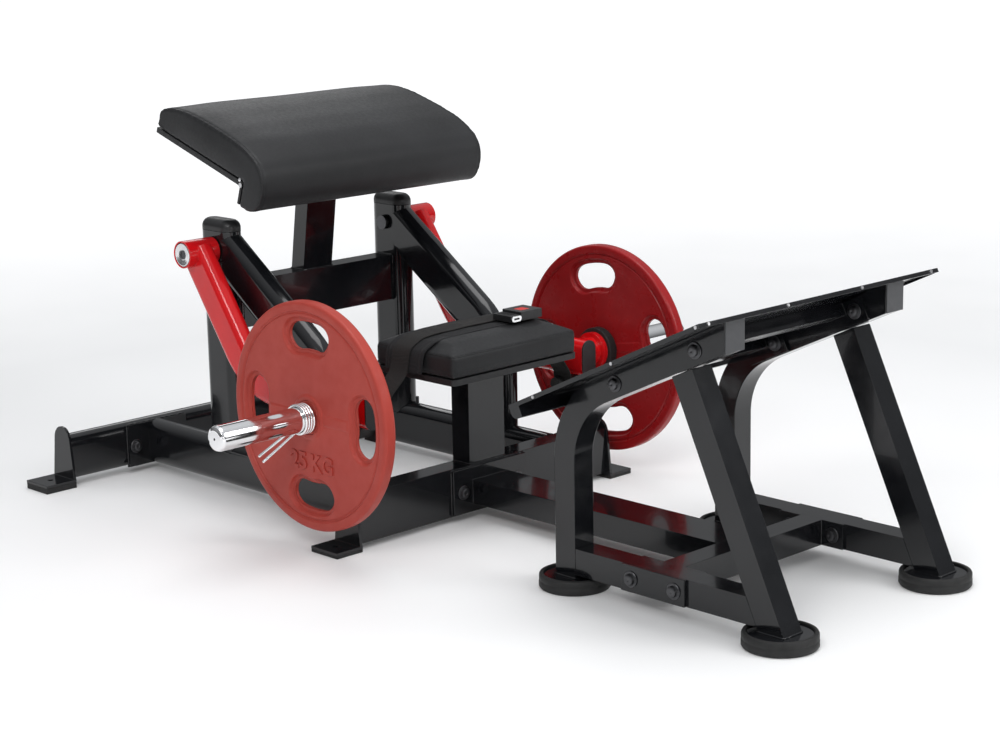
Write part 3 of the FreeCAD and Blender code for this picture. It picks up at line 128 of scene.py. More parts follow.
# ---------------------------------------------------------------- materials
class Look:
    """A node material under construction, in the coordinates of the object it is on."""

    def __init__(self, name, colour, roughness, **values):
        self.material = bpy.data.materials.new(name)
        self.material.use_nodes = True
        tree = self.material.node_tree
        self.nodes, self.links = tree.nodes, tree.links
        self.surface = self.nodes["Principled BSDF"]
        self.position = self.nodes.new("ShaderNodeTexCoord").outputs["Object"]
        self.bump_out = None
        self.set("Base Color", (*colour, 1))
        self.set("Roughness", roughness)
        for key, value in values.items():
            self.set(key.replace("_", " ").title().replace("Ior", "IOR"), value)

    def set(self, key, value):
        self.surface.inputs[key].default_value = value

    def link(self, source, key):
        self.links.new(source, self.surface.inputs[key])

    def stretch(self, x, y, z):
        """Coordinates scaled by different amounts along the three axes."""
        mapping = self.nodes.new("ShaderNodeMapping")
        mapping.inputs["Scale"].default_value = (x, y, z)
        self.links.new(self.position, mapping.inputs["Vector"])
        return mapping.outputs["Vector"]

    def noise(self, scale, detail=3, coordinates=None):
        texture = self.nodes.new("ShaderNodeTexNoise")
        texture.inputs["Scale"].default_value = scale
        texture.inputs["Detail"].default_value = detail
        self.links.new(coordinates or self.position, texture.inputs["Vector"])
        return texture.outputs["Fac"]

    def cells(self, scale, feature="F1", coordinates=None):
        texture = self.nodes.new("ShaderNodeTexVoronoi")
        texture.feature = feature
        texture.inputs["Scale"].default_value = scale
        self.links.new(coordinates or self.position, texture.inputs["Vector"])
        return texture.outputs["Distance"]

    def wave(self, scale, direction, distortion=0.0, coordinates=None):
        texture = self.nodes.new("ShaderNodeTexWave")
        texture.bands_direction = direction
        texture.inputs["Scale"].default_value = scale
        texture.inputs["Distortion"].default_value = distortion
        self.links.new(coordinates or self.position, texture.inputs["Vector"])
        return texture.outputs["Fac"]

    def math(self, operation, first, second):
        step = self.nodes.new("ShaderNodeMath")
        step.operation = operation
        for socket, value in zip(step.inputs, (first, second)):
            if isinstance(value, (int, float)):
                socket.default_value = value
            else:
                self.links.new(value, socket)
        return step.outputs[0]

    def spread(self, factor, low, high, start=0.3, end=0.7):
        """Map a factor between start and end to numbers between low and high."""
        remap = self.nodes.new("ShaderNodeMapRange")
        for key, value in (("From Min", start), ("From Max", end), ("To Min", low), ("To Max", high)):
            remap.inputs[key].default_value = value
        self.links.new(factor, remap.inputs["Value"])
        return remap.outputs["Result"]

    def blend(self, factor, first, second):
        """Mix two colours; each is a tuple or a socket."""
        mixer = self.nodes.new("ShaderNodeMix")
        mixer.data_type = "RGBA"
        self.links.new(factor, mixer.inputs["Factor"])
        for key, value in (("A", first), ("B", second)):
            socket = [item for item in mixer.inputs if item.name == key and item.type == "RGBA"][0]
            if isinstance(value, tuple):
                socket.default_value = (*value, 1)
            else:
                self.links.new(value, socket)
        return [item for item in mixer.outputs if item.type == "RGBA"][0]

    def bump(self, height, distance, strength=1.0):
        """Add relief in metres on top of what is there."""
        relief = self.nodes.new("ShaderNodeBump")
        relief.inputs["Distance"].default_value = distance
        relief.inputs["Strength"].default_value = strength
        self.links.new(height, relief.inputs["Height"])
        if self.bump_out:
            self.links.new(self.bump_out, relief.inputs["Normal"])
        self.bump_out = relief.outputs["Normal"]
        self.link(self.bump_out, "Normal")


def gloss_paint(name, colour, dusty):
    """Powder coat: a clear glossy skin with faint orange peel and a film of dust."""
    look = Look(name, colour, 0.16, specular_ior_level=0.34, coat_weight=0.3, coat_roughness=0.04)
    look.link(look.blend(look.spread(look.noise(9, 5), 0, 1), colour, dusty), "Base Color")
    look.link(look.spread(look.noise(35, 5), 0.1, 0.2), "Roughness")
    look.bump(look.noise(420, 2), 0.00006, 0.35)
    look.bump(look.noise(60, 2), 0.0002, 0.25)
    return look.material


def vinyl(name, colour, light):
    """Upholstery vinyl: fine pebble grain, soft sheen and slow colour change."""
    look = Look(name, colour, 0.5, specular_ior_level=0.28)
    look.link(look.blend(look.spread(look.noise(6, 4), 0, 1), colour, light), "Base Color")
    look.link(look.spread(look.noise(140, 4), 0.42, 0.52), "Roughness")
    look.bump(look.cells(900, "SMOOTH_F1"), 0.0004, 0.35)
    look.bump(look.noise(260, 5), 0.0003, 0.25)
    look.bump(look.noise(14, 3), 0.0012, 0.18)
    return look.material


def rubber(name, colour, grain=700):
    look = Look(name, colour, 0.62, specular_ior_level=0.35)
    look.link(look.spread(look.noise(45, 5), 0.5, 0.74), "Roughness")
    look.link(look.blend(look.noise(30, 5), colour, tuple(part * 1.9 for part in colour)), "Base Color")
    look.bump(look.noise(grain, 4), 0.0003, 0.4)
    return look.material


def bare_metal(name, colour, low, high, streak=None):
    """Chrome, zinc or steel, with fine streaks along one axis where given."""
    look = Look(name, colour, low, metallic=1.0)
    coordinates = look.stretch(*streak) if streak else None
    look.link(look.spread(look.noise(300, 4, coordinates), low, high), "Roughness")
    look.bump(look.noise(500, 3, coordinates), 0.00003, 0.3)
    return look.material


def moulded(name, colour, roughness=0.4):
    look = Look(name, colour, roughness, specular_ior_level=0.45)
    look.link(look.spread(look.noise(90, 4), roughness - 0.06, roughness + 0.08), "Roughness")
    look.bump(look.noise(1200, 2), 0.0001, 0.4)
    return look.material


def woven(name, colour, light):
    """Webbing: ribs across and threads along, with paler high threads."""
    look = Look(name, colour, 0.8, sheen_weight=0.04, sheen_roughness=0.5, specular_ior_level=0.15)
    across = look.wave(420, "X")
    along = look.wave(260, "Y", 0.3)
    up = look.wave(260, "Z", 0.3)
    threads = look.math("ADD", across, look.math("MULTIPLY", along, up))
    look.link(look.blend(look.spread(threads, 0, 1, 0.6, 1.8), colour, light), "Base Color")
    look.bump(threads, 0.0004, 0.6)
    return look.material


def plate_rubber(name, colour, light, dark, roughness):
    """Rubber-coated disc: mottled colour with paler and darker patches, and a fine mould grain."""
    look = Look(name, colour, roughness, specular_ior_level=0.26)
    base = look.blend(look.spread(look.noise(12, 6), 0, 1), colour, light)
    base = look.blend(look.spread(look.noise(40, 6), 0, 0.3), base, dark)
    look.link(base, "Base Color")
    look.link(look.spread(look.noise(40, 5), roughness - 0.08, roughness + 0.1), "Roughness")
    look.bump(look.noise(900, 3), 0.00015, 0.5)
    look.bump(look.noise(90, 3), 0.0003, 0.25)
    return look.material


LOOKS = {
    "frame_black": gloss_paint("black_powder_coat", (0.004, 0.0044, 0.0055), (0.008, 0.0085, 0.010)),
    "arm_red": gloss_paint("red_powder_coat", (0.66, 0.005, 0.008), (0.56, 0.008, 0.011)),
    "vinyl": vinyl("black_vinyl", (0.012, 0.0122, 0.013), (0.020, 0.0205, 0.022)),
    "pad_rubber": rubber("black_rubber", (0.012, 0.012, 0.012)),
    "black_plastic": moulded("black_moulded_plastic", (0.014, 0.014, 0.015), 0.38),
    "grey_plastic": moulded("grey_moulded_plastic", (0.045, 0.046, 0.05), 0.42),
    "board": moulded("painted_board", (0.012, 0.012, 0.013), 0.5),
    "chrome": bare_metal("polished_chrome", (0.86, 0.86, 0.87), 0.05, 0.12, (1, 0.02, 1)),
    "steel": bare_metal("zinc_steel", (0.55, 0.55, 0.56), 0.24, 0.4),
    "black_steel": bare_metal("blackened_steel", (0.10, 0.10, 0.105), 0.3, 0.45),
    "plate_red": plate_rubber("red_plate_rubber", (0.37, 0.044, 0.031), (0.41, 0.056, 0.041),
                              (0.30, 0.032, 0.023), 0.42),
    # A darker copy of the red plate rubber for the left (far) plate, its bush and its figures: the darker
    # colour is painted shade, the lower roughness a glossier skin.
    "plate_red_shaded_glossy": plate_rubber("shaded_glossy_red_plate_rubber", (0.28, 0.0075, 0.009), (0.32, 0.011, 0.013),
                                     (0.2, 0.006, 0.007), 0.3),
    "cap_silver": bare_metal("satin_silver_cap", (0.78, 0.78, 0.79), 0.16, 0.28),
    "webbing_pad": woven("black_pad_fabric", (0.010, 0.010, 0.011), (0.028, 0.028, 0.030)),
    "webbing": woven("black_webbing", (0.013, 0.012, 0.0118), (0.036, 0.034, 0.033)),
    "button_red": moulded("red_button_plastic", (0.62, 0.02, 0.015), 0.3),
    "thread": moulded("black_thread", (0.022, 0.022, 0.024), 0.6),
}


# ---------------------------------------------------------------- mesh helpers
def apply_modifiers(piece):
    """Bake every modifier of an object into its mesh."""
    graph = bpy.context.evaluated_depsgraph_get()
    graph.update()
    baked = bpy.data.meshes.new_from_object(piece.evaluated_get(graph))
    piece.modifiers.clear()
    piece.data = baked


def new_piece(name, mesh, look, body):
    """Link a mesh to the scene with a material, riding on one CAD body."""
    piece = bpy.data.objects.new(name, mesh)
    SCENE.collection.objects.link(piece)
    mesh.materials.clear()
    mesh.materials.append(LOOKS[look])
    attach(piece, body)
    return piece


def mesh_of(name, build):
    """A mesh from a function that fills a bmesh."""
    grid = bmesh.new()
    build(grid)
    bmesh.ops.recalc_face_normals(grid, faces=grid.faces)
    mesh = bpy.data.meshes.new(name)
    grid.to_mesh(mesh)
    grid.free()
    return mesh


def shade(mesh, angle=40):
    """Smooth faces, kept sharp where they meet at more than an angle in degrees."""
    mesh.polygons.foreach_set("use_smooth", [True] * len(mesh.polygons))
    mesh.set_sharp_from_angle(angle=math.radians(angle))


def add_lathe(grid, profile, place, segments=64):
    """Turn (radius, height) points about a local Z axis placed by a matrix."""
    rings = []
    for radius, height in profile:
        if radius < 1e-7:
            rings.append([grid.verts.new(place @ Vector((0, 0, height)))])
            continue
        rings.append([grid.verts.new(place @ Vector((radius * math.cos(math.tau * step / segments),
                                                     radius * math.sin(math.tau * step / segments), height)))
                      for step in range(segments)])
    for lower, upper in zip(rings, rings[1:]):
        for step in range(segments):
            after = (step + 1) % segments
            corners = [lower[step % len(lower)], lower[after % len(lower)],
                       upper[after % len(upper)], upper[step % len(upper)]]
            grid.faces.new(list(dict.fromkeys(corners)))


def add_tube(grid, points, radius, sides=8, closed=False, wobble=0.0, flat=1.0):
    """A round or flattened tube along a line of points."""
    count = len(points)
    rings = []
    side_way = None
    for index, point in enumerate(points):
        before = points[index - 1] if closed or index else points[0]
        after = points[(index + 1) % count] if closed or index < count - 1 else points[-1]
        ahead = (after - before).normalized()
        if side_way is None:
            side_way = ahead.orthogonal().normalized()
        side_way = (side_way - ahead * side_way.dot(ahead)).normalized()
        top_way = ahead.cross(side_way)
        swell = radius * (1 + wobble * (RNG.random() - 0.5))
        rings.append([grid.verts.new(point + side_way * (swell * math.cos(math.tau * step / sides))
                                     + top_way * (swell * flat * math.sin(math.tau * step / sides)))
                      for step in range(sides)])
    pairs = list(zip(rings, rings[1:])) + ([(rings[-1], rings[0])] if closed else [])
    for first, second in pairs:
        for step in range(sides):
            after = (step + 1) % sides
            grid.faces.new([first[step], first[after], second[after], second[step]])
    if not closed:
        grid.faces.new(rings[0][::-1])
        grid.faces.new(rings[-1])


def place_along(point, axis):
    """A matrix that puts a local Z axis at a point along a row direction."""
    return Matrix.Translation(point) @ axis.to_track_quat("Z", "Y").to_matrix().to_4x4()


def resample(points, spacing, closed=False):
    """Points at an even spacing along a line."""
    line = points + [points[0]] if closed else points
    lengths = [0.0]
    for first, second in zip(line, line[1:]):
        lengths.append(lengths[-1] + (second - first).length)
    count = max(2, round(lengths[-1] / spacing))
    result, span = [], 0
    for step in range(count if closed else count + 1):
        goal = lengths[-1] * step / count
        while span < len(line) - 2 and lengths[span + 1] < goal:
            span += 1
        part = (goal - lengths[span]) / max(lengths[span + 1] - lengths[span], 1e-9)
        result.append(line[span].lerp(line[span + 1], part))
    return result


def islands(node):
    """The separate solids of a CAD node, each as its list of points."""
    grid = bmesh.new()
    grid.from_mesh(NODES[node].data)
    bmesh.ops.remove_doubles(grid, verts=grid.verts, dist=1e-5)
    groups, seen = [], set()
    for start in grid.verts:
        if start in seen:
            continue
        stack, group = [start], []
        seen.add(start)
        while stack:
            vert = stack.pop()
            group.append(vert.co.copy())
            for edge in vert.link_edges:
                other = edge.other_vert(vert)
                if other not in seen:
                    seen.add(other)
                    stack.append(other)
        groups.append(group)
    grid.free()
    return groups


def box_of(points):
    return (Vector([min(point[axis] for point in points) for axis in range(3)]),
            Vector([max(point[axis] for point in points) for axis in range(3)]))


# ---------------------------------------------------------------- CAD nodes that keep their own shape
NODE_SLOT = {entry["node"]: entry["material_slot"] for entry in frame["record"]["subparts"]}
BODY_OF = {node: body for body, nodes in frame["record"]["behaviour"]["bodies"].items() for node in nodes}
# The left plate's bush takes the darker copy of the plate rubber: painted shade, as on its plate.
NODE_LOOK = {"bent_leg_caps": "grey_plastic", "foot_discs": "frame_black", "pivot_axles": "black_steel",
             "plate_bush_left": "plate_red_shaded_glossy", "plate_bush_right": "plate_red",
             "buckle_tongue": "black_plastic"}


def finish_node(name, node):
    """Give a CAD node its material, small rounded edges and smooth shading."""
    mesh = node.data
    mesh.materials.clear()
    mesh.materials.append(LOOKS[NODE_LOOK.get(name, NODE_SLOT[name])])
    mesh.polygons.foreach_set("use_smooth", [True] * len(mesh.polygons))
    if mesh.has_custom_normals:
        with bpy.context.temp_override(object=node, active_object=node, mesh=mesh):
            bpy.ops.mesh.customdata_custom_splitnormals_clear()
    weld = node.modifiers.new("weld", "WELD")
    weld.merge_threshold = 1e-5
    edge = node.modifiers.new("edge", "BEVEL")
    edge.limit_method = "ANGLE"
    edge.angle_limit = math.radians(32)
    edge.width = 1.2 * MM
    edge.segments = 2
    edge.harden_normals = True
    edge.use_clamp_overlap = True
    smooth = node.modifiers.new("smooth", "WEIGHTED_NORMAL")
    smooth.keep_sharp = True


for node_name, node_object in NODES.items():
    finish_node(node_name, node_object)


# ---------------------------------------------------------------- shape helpers that read the frame
def grid_of(node):
    """A CAD node's surface as one welded bmesh."""
    grid = bmesh.new()
    grid.from_mesh(NODES[node].data)
    bmesh.ops.transform(grid, matrix=NODES[node].matrix_world, verts=grid.verts)
    bmesh.ops.remove_doubles(grid, verts=grid.verts, dist=1e-5)
    return grid


def end_outline(node, way):
    """The ordered border of the flat face that ends a CAD node in one direction."""
    grid = grid_of(node)
    level = max(vert.co.dot(way) for vert in grid.verts)
    faces = {face for face in grid.faces if all(vert.co.dot(way) > level - 0.0002 for vert in face.verts)}
    joined = {}
    for edge in {edge for face in faces for edge in face.edges}:
        if len([face for face in edge.link_faces if face in faces]) == 1:
            first, second = edge.verts
            joined.setdefault(first, []).append(second)
            joined.setdefault(second, []).append(first)
    start = next(iter(sorted(joined, key=lambda vert: tuple(vert.co))))
    line, last, here = [start.co.copy()], None, start
    while True:
        onward = [vert for vert in joined[here] if vert is not last]
        last, here = here, onward[0]
        if here is start:
            break
        line.append(here.co.copy())
    grid.free()
    return line


def smooth_line(points, rounds=2, closed=False):
    """Round the corners of a line by cutting them."""
    for _ in range(rounds):
        cut = [] if closed else [points[0]]
        pairs = zip(points, points[1:] + points[:1]) if closed else zip(points, points[1:])
        for first, second in pairs:
            cut += [first.lerp(second, 0.25), first.lerp(second, 0.75)]
        points = cut if closed else cut + [points[-1]]
    return points


def add_weld(grid, outline, radius=0.0024):
    """A rippled bead of weld that follows a closed outline."""
    line = resample(outline, 0.004, closed=True)
    count = len(line)
    rippled = [point + (line[(index + 1) % count] - line[index - 1]).normalized() * 0.0006 * (index % 2)
               for index, point in enumerate(line)]
    add_tube(grid, rippled, radius, 7, closed=True, wobble=0.35)


# ---------------------------------------------------------------- cushions
def surface_of(piece):
    return BVHTree.FromObject(piece, bpy.context.evaluated_depsgraph_get())


def swell(piece, cap, held):
    """Blow the cushion up as cloth under pressure, by no more than cap, then ease its creases away."""
    before = [vert.co.copy() for vert in piece.data.vertices]
    ways = [vert.normal.copy() for vert in piece.data.vertices]
    group = piece.vertex_groups.new(name="held")
    group.add([index for index, point in enumerate(before) if held(point)], 1, "REPLACE")
    cloth = piece.modifiers.new("cloth", "CLOTH")
    settings = cloth.settings
    settings.use_pressure = True
    settings.uniform_pressure_force = 4
    settings.effector_weights.gravity = 0
    settings.tension_stiffness = settings.compression_stiffness = 40
    settings.shear_stiffness = 20
    settings.bending_stiffness = 8
    settings.quality = 5
    settings.vertex_group_mass = "held"
    first_frame, last_frame = 1, 20
    cloth.point_cache.frame_start, cloth.point_cache.frame_end = first_frame, last_frame
    for step in range(first_frame, last_frame + 1):
        SCENE.frame_set(step)
    apply_modifiers(piece)
    SCENE.frame_set(first_frame)
    easing_rounds = 60
    gains = numpy.array([min(max((vert.co - start).dot(way), 0.0), cap)
                         for vert, start, way in zip(piece.data.vertices, before, ways)])
    pairs = numpy.array([tuple(edge.vertices) for edge in piece.data.edges])
    first, second = pairs[:, 0], pairs[:, 1]
    shares = numpy.bincount(pairs.ravel(), minlength=len(gains))
    for _ in range(easing_rounds):
        around = numpy.bincount(first, gains[second], len(gains))
        around = around + numpy.bincount(second, gains[first], len(gains))
        gains = (gains + around / numpy.maximum(shares, 1)) / 2
    for vert, start, way, gain in zip(piece.data.vertices, before, ways, gains):
        vert.co = start if held(start) else start + way * float(gain)


def cushion(name, node, held, shrink, voxel, cap, corner, calm, ends):
    """A vinyl cushion in place of a CAD solid: remeshed, drawn in a little, swollen as cloth and smoothed.

    held tells the points that rest on the board, corner is the rounding of its sharp edges, and calm is the
    number of smoothing rounds, which leave the last stretch before each end, as long as ends, alone.
    """
    mesh = bpy.data.meshes.new(name)
    grid = grid_of(node)
    grid.to_mesh(mesh)
    grid.free()
    piece = new_piece(name, mesh, "vinyl", BODY_OF[node])
    rounding = piece.modifiers.new("rounding", "BEVEL")
    rounding.width = corner
    rounding.segments = 3
    rounding.limit_method = "ANGLE"
    rounding.angle_limit = math.radians(60)
    remesh = piece.modifiers.new("remesh", "REMESH")
    remesh.mode = "VOXEL"
    remesh.voxel_size = voxel
    smooth = piece.modifiers.new("smooth", "SMOOTH")
    smooth.iterations = 2
    smooth.factor = 0.5
    apply_modifiers(piece)
    mesh = piece.data
    ways = [vert.normal.copy() for vert in mesh.vertices]
    for vert, way in zip(mesh.vertices, ways):
        if not held(vert.co):
            vert.co -= way * shrink
    swell(piece, cap, held)
    low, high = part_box(node)
    middle, half = (low.y + high.y) / 2, (high.y - low.y) / 2
    inside = piece.vertex_groups.new(name="inside")
    calmed = [vert.index for vert in piece.data.vertices if abs(vert.co.y - middle) < half - ends]
    inside.add(calmed, 1, "REPLACE")
    taut = piece.modifiers.new("taut", "SMOOTH")
    taut.iterations = calm
    taut.factor = 0.5
    taut.vertex_group = "inside"
    finer = piece.modifiers.new("finer", "SUBSURF")
    finer.levels = finer.render_levels = 1
    apply_modifiers(piece)
    piece.data.materials.clear()
    piece.data.materials.append(LOOKS["vinyl"])
    piece.data.polygons.foreach_set("use_smooth", [True] * len(piece.data.polygons))
    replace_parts(piece, node)
    return piece


def drop_to(surface, points, raise_by=0.0):
    """Move points to the nearest place on a surface, then out along its normal."""
    result = []
    for point in points:
        place, normal, _, _ = surface.find_nearest(point)
        result.append(place + normal * raise_by)
    return result


def press_seam(piece, line, depth, reach):
    """Draw the cushion in along a line of stitching."""
    tree = KDTree(len(line))
    for index, point in enumerate(line):
        tree.insert(point, index)
    tree.balance()
    for vert in piece.data.vertices:
        _, _, gap = tree.find(vert.co)
        if gap < reach * 2.5:
            vert.co -= vert.normal * depth * math.exp(-(gap / reach) ** 2)


def stitches(name, lines, surface, body, pitch=0.0045, closed=True):
    """Short raised threads, end to end along lines on a surface."""
    def build(grid):
        for line in lines:
            points = drop_to(surface, resample(line, pitch / 3, closed), 0.0003)
            for start in range(0, len(points) - 3, 3):
                add_tube(grid, points[start:start + 3], 0.00045, 5)
    return new_piece(name, mesh_of(name, build), "thread", body)


def welt(name, lines, surface, body, radius=0.0011, raise_by=-0.0002):
    """The folded edge of vinyl where two panels meet, as a thin cord under the skin."""
    def build(grid):
        for line in lines:
            add_tube(grid, drop_to(surface, resample(line, 0.004, True), raise_by), radius, 6, closed=True,
                     wobble=0.06)
    mesh = mesh_of(name, build)
    shade(mesh, 60)
    return new_piece(name, mesh, "vinyl", body)


def near_box(node, gap):
    """A test for points that touch or almost touch a CAD node."""
    surface = BVHTree.FromPolygons(*surface_lists(node))
    return lambda point: surface.find_nearest(point, gap)[0] is not None


def surface_lists(node):
    """A CAD node's points and faces as plain lists."""
    grid = grid_of(node)
    grid.verts.index_update()
    lists = ([vert.co.copy() for vert in grid.verts],
             [[vert.index for vert in face.verts] for face in grid.faces])
    grid.free()
    return lists


def make_back_pad():
    """A firm roll-nosed pad with flat end panels, sewn with a welt and a line of top stitching beside it."""
    pad = cushion("back_pad_cushion", "back_pad", near_box("back_pad_board", 0.004), shrink=-0.0006,
                  voxel=0.005, cap=0.006, corner=0.002, calm=40, ends=0.012)
    welt_inset, stitch_inset = 0.001, 0.008
    welts, rows = [], []
    for way in (-Y, Y):
        edge = smooth_line(end_outline("back_pad", way), 1, closed=True)
        welts.append([point - way * welt_inset for point in edge])
        rows.append([point - way * stitch_inset for point in edge])
    for line in welts:
        press_seam(pad, resample(line, 0.003, True), -0.0006, 0.002)
    for line in rows:
        press_seam(pad, resample(line, 0.003, True), 0.0011, 0.003)
    surface = surface_of(pad)
    welt("back_pad_welts", welts, surface, "frame")
    stitches("back_pad_stitching", rows, surface, "frame")
    corner = max(end_outline("back_pad_board", -Y), key=lambda point: point.x)
    spot = place_along(corner + Vector((-0.009, 0.0006, 0.004)), -Y)
    dome = [(0.0042, 0), (0.0040, 0.0012), (0.0028, 0.0022), (0.0012, 0.0025), (0.0010, 0.0019), (0, 0.0019)]
    head = mesh_of("pad_screw", lambda grid: add_lathe(grid, dome, spot, 24))
    shade(head, 40)
    new_piece("pad_screw", head, "cap_silver", "frame")


def rounded_loop(low, high, level, corner, steps=6):
    """A level rectangle with rounded corners."""
    points = []
    for quarter, (x, y) in enumerate(((high.x, high.y), (low.x, high.y), (low.x, low.y), (high.x, low.y))):
        middle = Vector((x - math.copysign(corner, x - (low.x + high.x) / 2),
                         y - math.copysign(corner, y - (low.y + high.y) / 2), level))
        for step in range(steps + 1):
            angle = math.tau * (quarter + step / steps) / 4
            points.append(middle + Vector((math.cos(angle), math.sin(angle), 0)) * corner)
    return points


def make_seat_pad():
    """A thick seat pad with bevelled top edges and one seam around its sides."""
    pad = cushion("seat_pad_cushion", "seat_pad", near_box("seat_board", 0.004), shrink=0.001,
                  voxel=0.0045, cap=0.005, corner=0.009, calm=4, ends=0)
    low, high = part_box("seat_pad")
    seam_level, hem_level = low.z + (high.z - low.z) * 0.73, low.z + 0.009
    corner, spacing = 0.012, 0.003
    seam = resample(rounded_loop(low, high, seam_level, corner), spacing, True)
    hem = resample(rounded_loop(low, high, hem_level, corner), spacing, True)
    press_seam(pad, seam, 0.0016, 0.0032)
    press_seam(pad, hem, 0.0008, 0.003)
    surface = surface_of(pad)
    welt("seat_pad_welt", [seam], surface, "frame", 0.0009, 0.0002)
    stitches("seat_pad_stitching", [[point + Z * 0.005 for point in seam]], surface, "frame")


make_back_pad()
make_seat_pad()


# ---------------------------------------------------------------- belt
def run_length(line):
    return sum((after - before).length for before, after in zip(line, line[1:]))


def strap_line(node):
    """The upper surface of a band that runs across the machine, from the right side to the left."""
    outline = end_outline(node, -X)
    count = len(outline)
    lengths = [(outline[(index + 1) % count] - outline[index]).length for index in range(count)]
    first, second = sorted(sorted(range(count), key=lambda index: lengths[index])[:2])
    chains = (outline[first + 1:second + 1], outline[second + 1:] + outline[:first + 1])
    outer = max(chains, key=run_length)
    return outer if outer[0].y < outer[-1].y else outer[::-1]


def add_band(grid, line, low, high, thick, ripple):
    """A strap from low to high in x along a line in the YZ plane, with rolled edges and slight ripples."""
    rows = []
    middle, half = (low + high) / 2, (high - low) / 2
    around = [(-1, -0.6), (-1, 0.6), (-0.97, 1), (-0.9, 1), (-0.82, 0.97), (-0.7, 1), (-0.3, 0.95),
              (0.3, 0.95), (0.7, 1), (0.82, 0.97), (0.9, 1), (0.97, 1), (1, 0.6), (1, -0.6), (0.97, -1),
              (-0.97, -1)]
    for index, point in enumerate(line):
        before, after = line[max(index - 1, 0)], line[min(index + 1, len(line) - 1)]
        out = X.cross((after - before).normalized())
        rows.append([])
        for across, up in around:
            wave = 0.5 + 0.5 * math.sin(index * 0.29 + across * 1.3) * math.sin(index * 0.13 + 1)
            rows[-1].append(grid.verts.new(Vector((middle + across * half, point.y, point.z))
                                           + out * (thick / 2 * (up - 1) + ripple * wave)))
    count = len(around)
    for first, second in zip(rows, rows[1:]):
        for step in range(count):
            after = (step + 1) % count
            grid.faces.new([first[step], first[after], second[after], second[step]])
    grid.faces.new(rows[0])
    grid.faces.new(rows[-1][::-1])


def make_belt():
    """The webbing from arm to arm and the stitched, padded sleeve that it runs over."""
    low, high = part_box("belt_strap")
    line = resample(smooth_line(strap_line("belt_strap"), 3), 0.006)
    strap_mesh = mesh_of("belt_webbing", lambda grid: add_band(grid, line, low.x, high.x, 0.0026, 0.0016))
    shade(strap_mesh)
    strap = new_piece("belt_webbing", strap_mesh, "webbing", BODY_OF["belt_strap"])
    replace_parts(strap, "belt_strap")

    low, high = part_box("belt_pad")
    pad_line = resample(smooth_line(strap_line("belt_pad"), 2), 0.004)
    thick, ripple = 0.0044, 0.0006
    pad_mesh = mesh_of("belt_pad_sleeve", lambda grid: add_band(grid, pad_line, low.x, high.x, thick, ripple))
    shade(pad_mesh, 60)
    pad = new_piece("belt_pad_sleeve", pad_mesh, "webbing_pad", BODY_OF["belt_pad"])
    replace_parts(pad, "belt_pad")
    hem = 0.009
    rows = [[Vector((x, point.y, point.z)) for point in pad_line] for x in (low.x + hem, high.x - hem)]
    for row in rows:
        press_seam(pad, row, 0.0008, 0.004)
    surface = surface_of(pad)
    stitches("belt_pad_stitching", rows, surface, BODY_OF["belt_pad"], closed=False)


make_belt()


# ---------------------------------------------------------------- weight plates
# the height and the x of the sleeves' axis
HUB_HIGH, HUB_ALONG = (sum(corner[axis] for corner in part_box("plate_bush_right")) / 2 for axis in (2, 0))
# each plate hangs on its sleeve at its own angle
PLATE_TURN = {"left": math.radians(-9), "right": 0}


def on_plate(side, sign):
    """A matrix from a plate's own outer face, x to its right and z outwards, to the row frame."""
    low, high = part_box("weight_plate_" + side)
    level = high.y if sign > 0 else low.y
    turn = PLATE_TURN[side]
    spin = Matrix.Rotation(math.pi, 4, "Z") if sign > 0 else Matrix.Identity(4)
    return (Matrix.Translation((HUB_ALONG, level, HUB_HIGH)) @ spin @ Matrix.Rotation(math.pi / 2, 4, "X")
            @ Matrix.Rotation(turn, 4, "Z"))


def window_outline():
    """A hand hole above the hub: arched above and below, widest past its middle, with round corners."""
    corners = [(-0.041, 0.1265), (0.0, 0.1335), (0.041, 0.1265), (0.0625, 0.155), (0.047, 0.1815),
               (0.0, 0.1865), (-0.047, 0.1815), (-0.0625, 0.155)]
    return resample(smooth_line([Vector((x, y, 0)) for x, y in corners], 3, closed=True), 0.0015, True)


def plate_profile(outer, bore, tall):
    """Half of the disc's section: raised hub, flat face, fine groove and a rounded rim, then its mirror."""
    face = 0.0030
    half = [(bore, 0), (0.0410, 0), (0.0425, -0.0006), (0.0440, -face), (outer - 0.0240, -face),
            (outer - 0.0228, -face - 0.0024), (outer - 0.0205, -face - 0.0024), (outer - 0.0180, -0.0014),
            (outer - 0.0085, -0.0012), (outer - 0.0036, -0.0020), (outer - 0.0012, -0.0038), (outer, -0.0070)]
    return half + [(radius, -tall - height) for radius, height in half[::-1]]


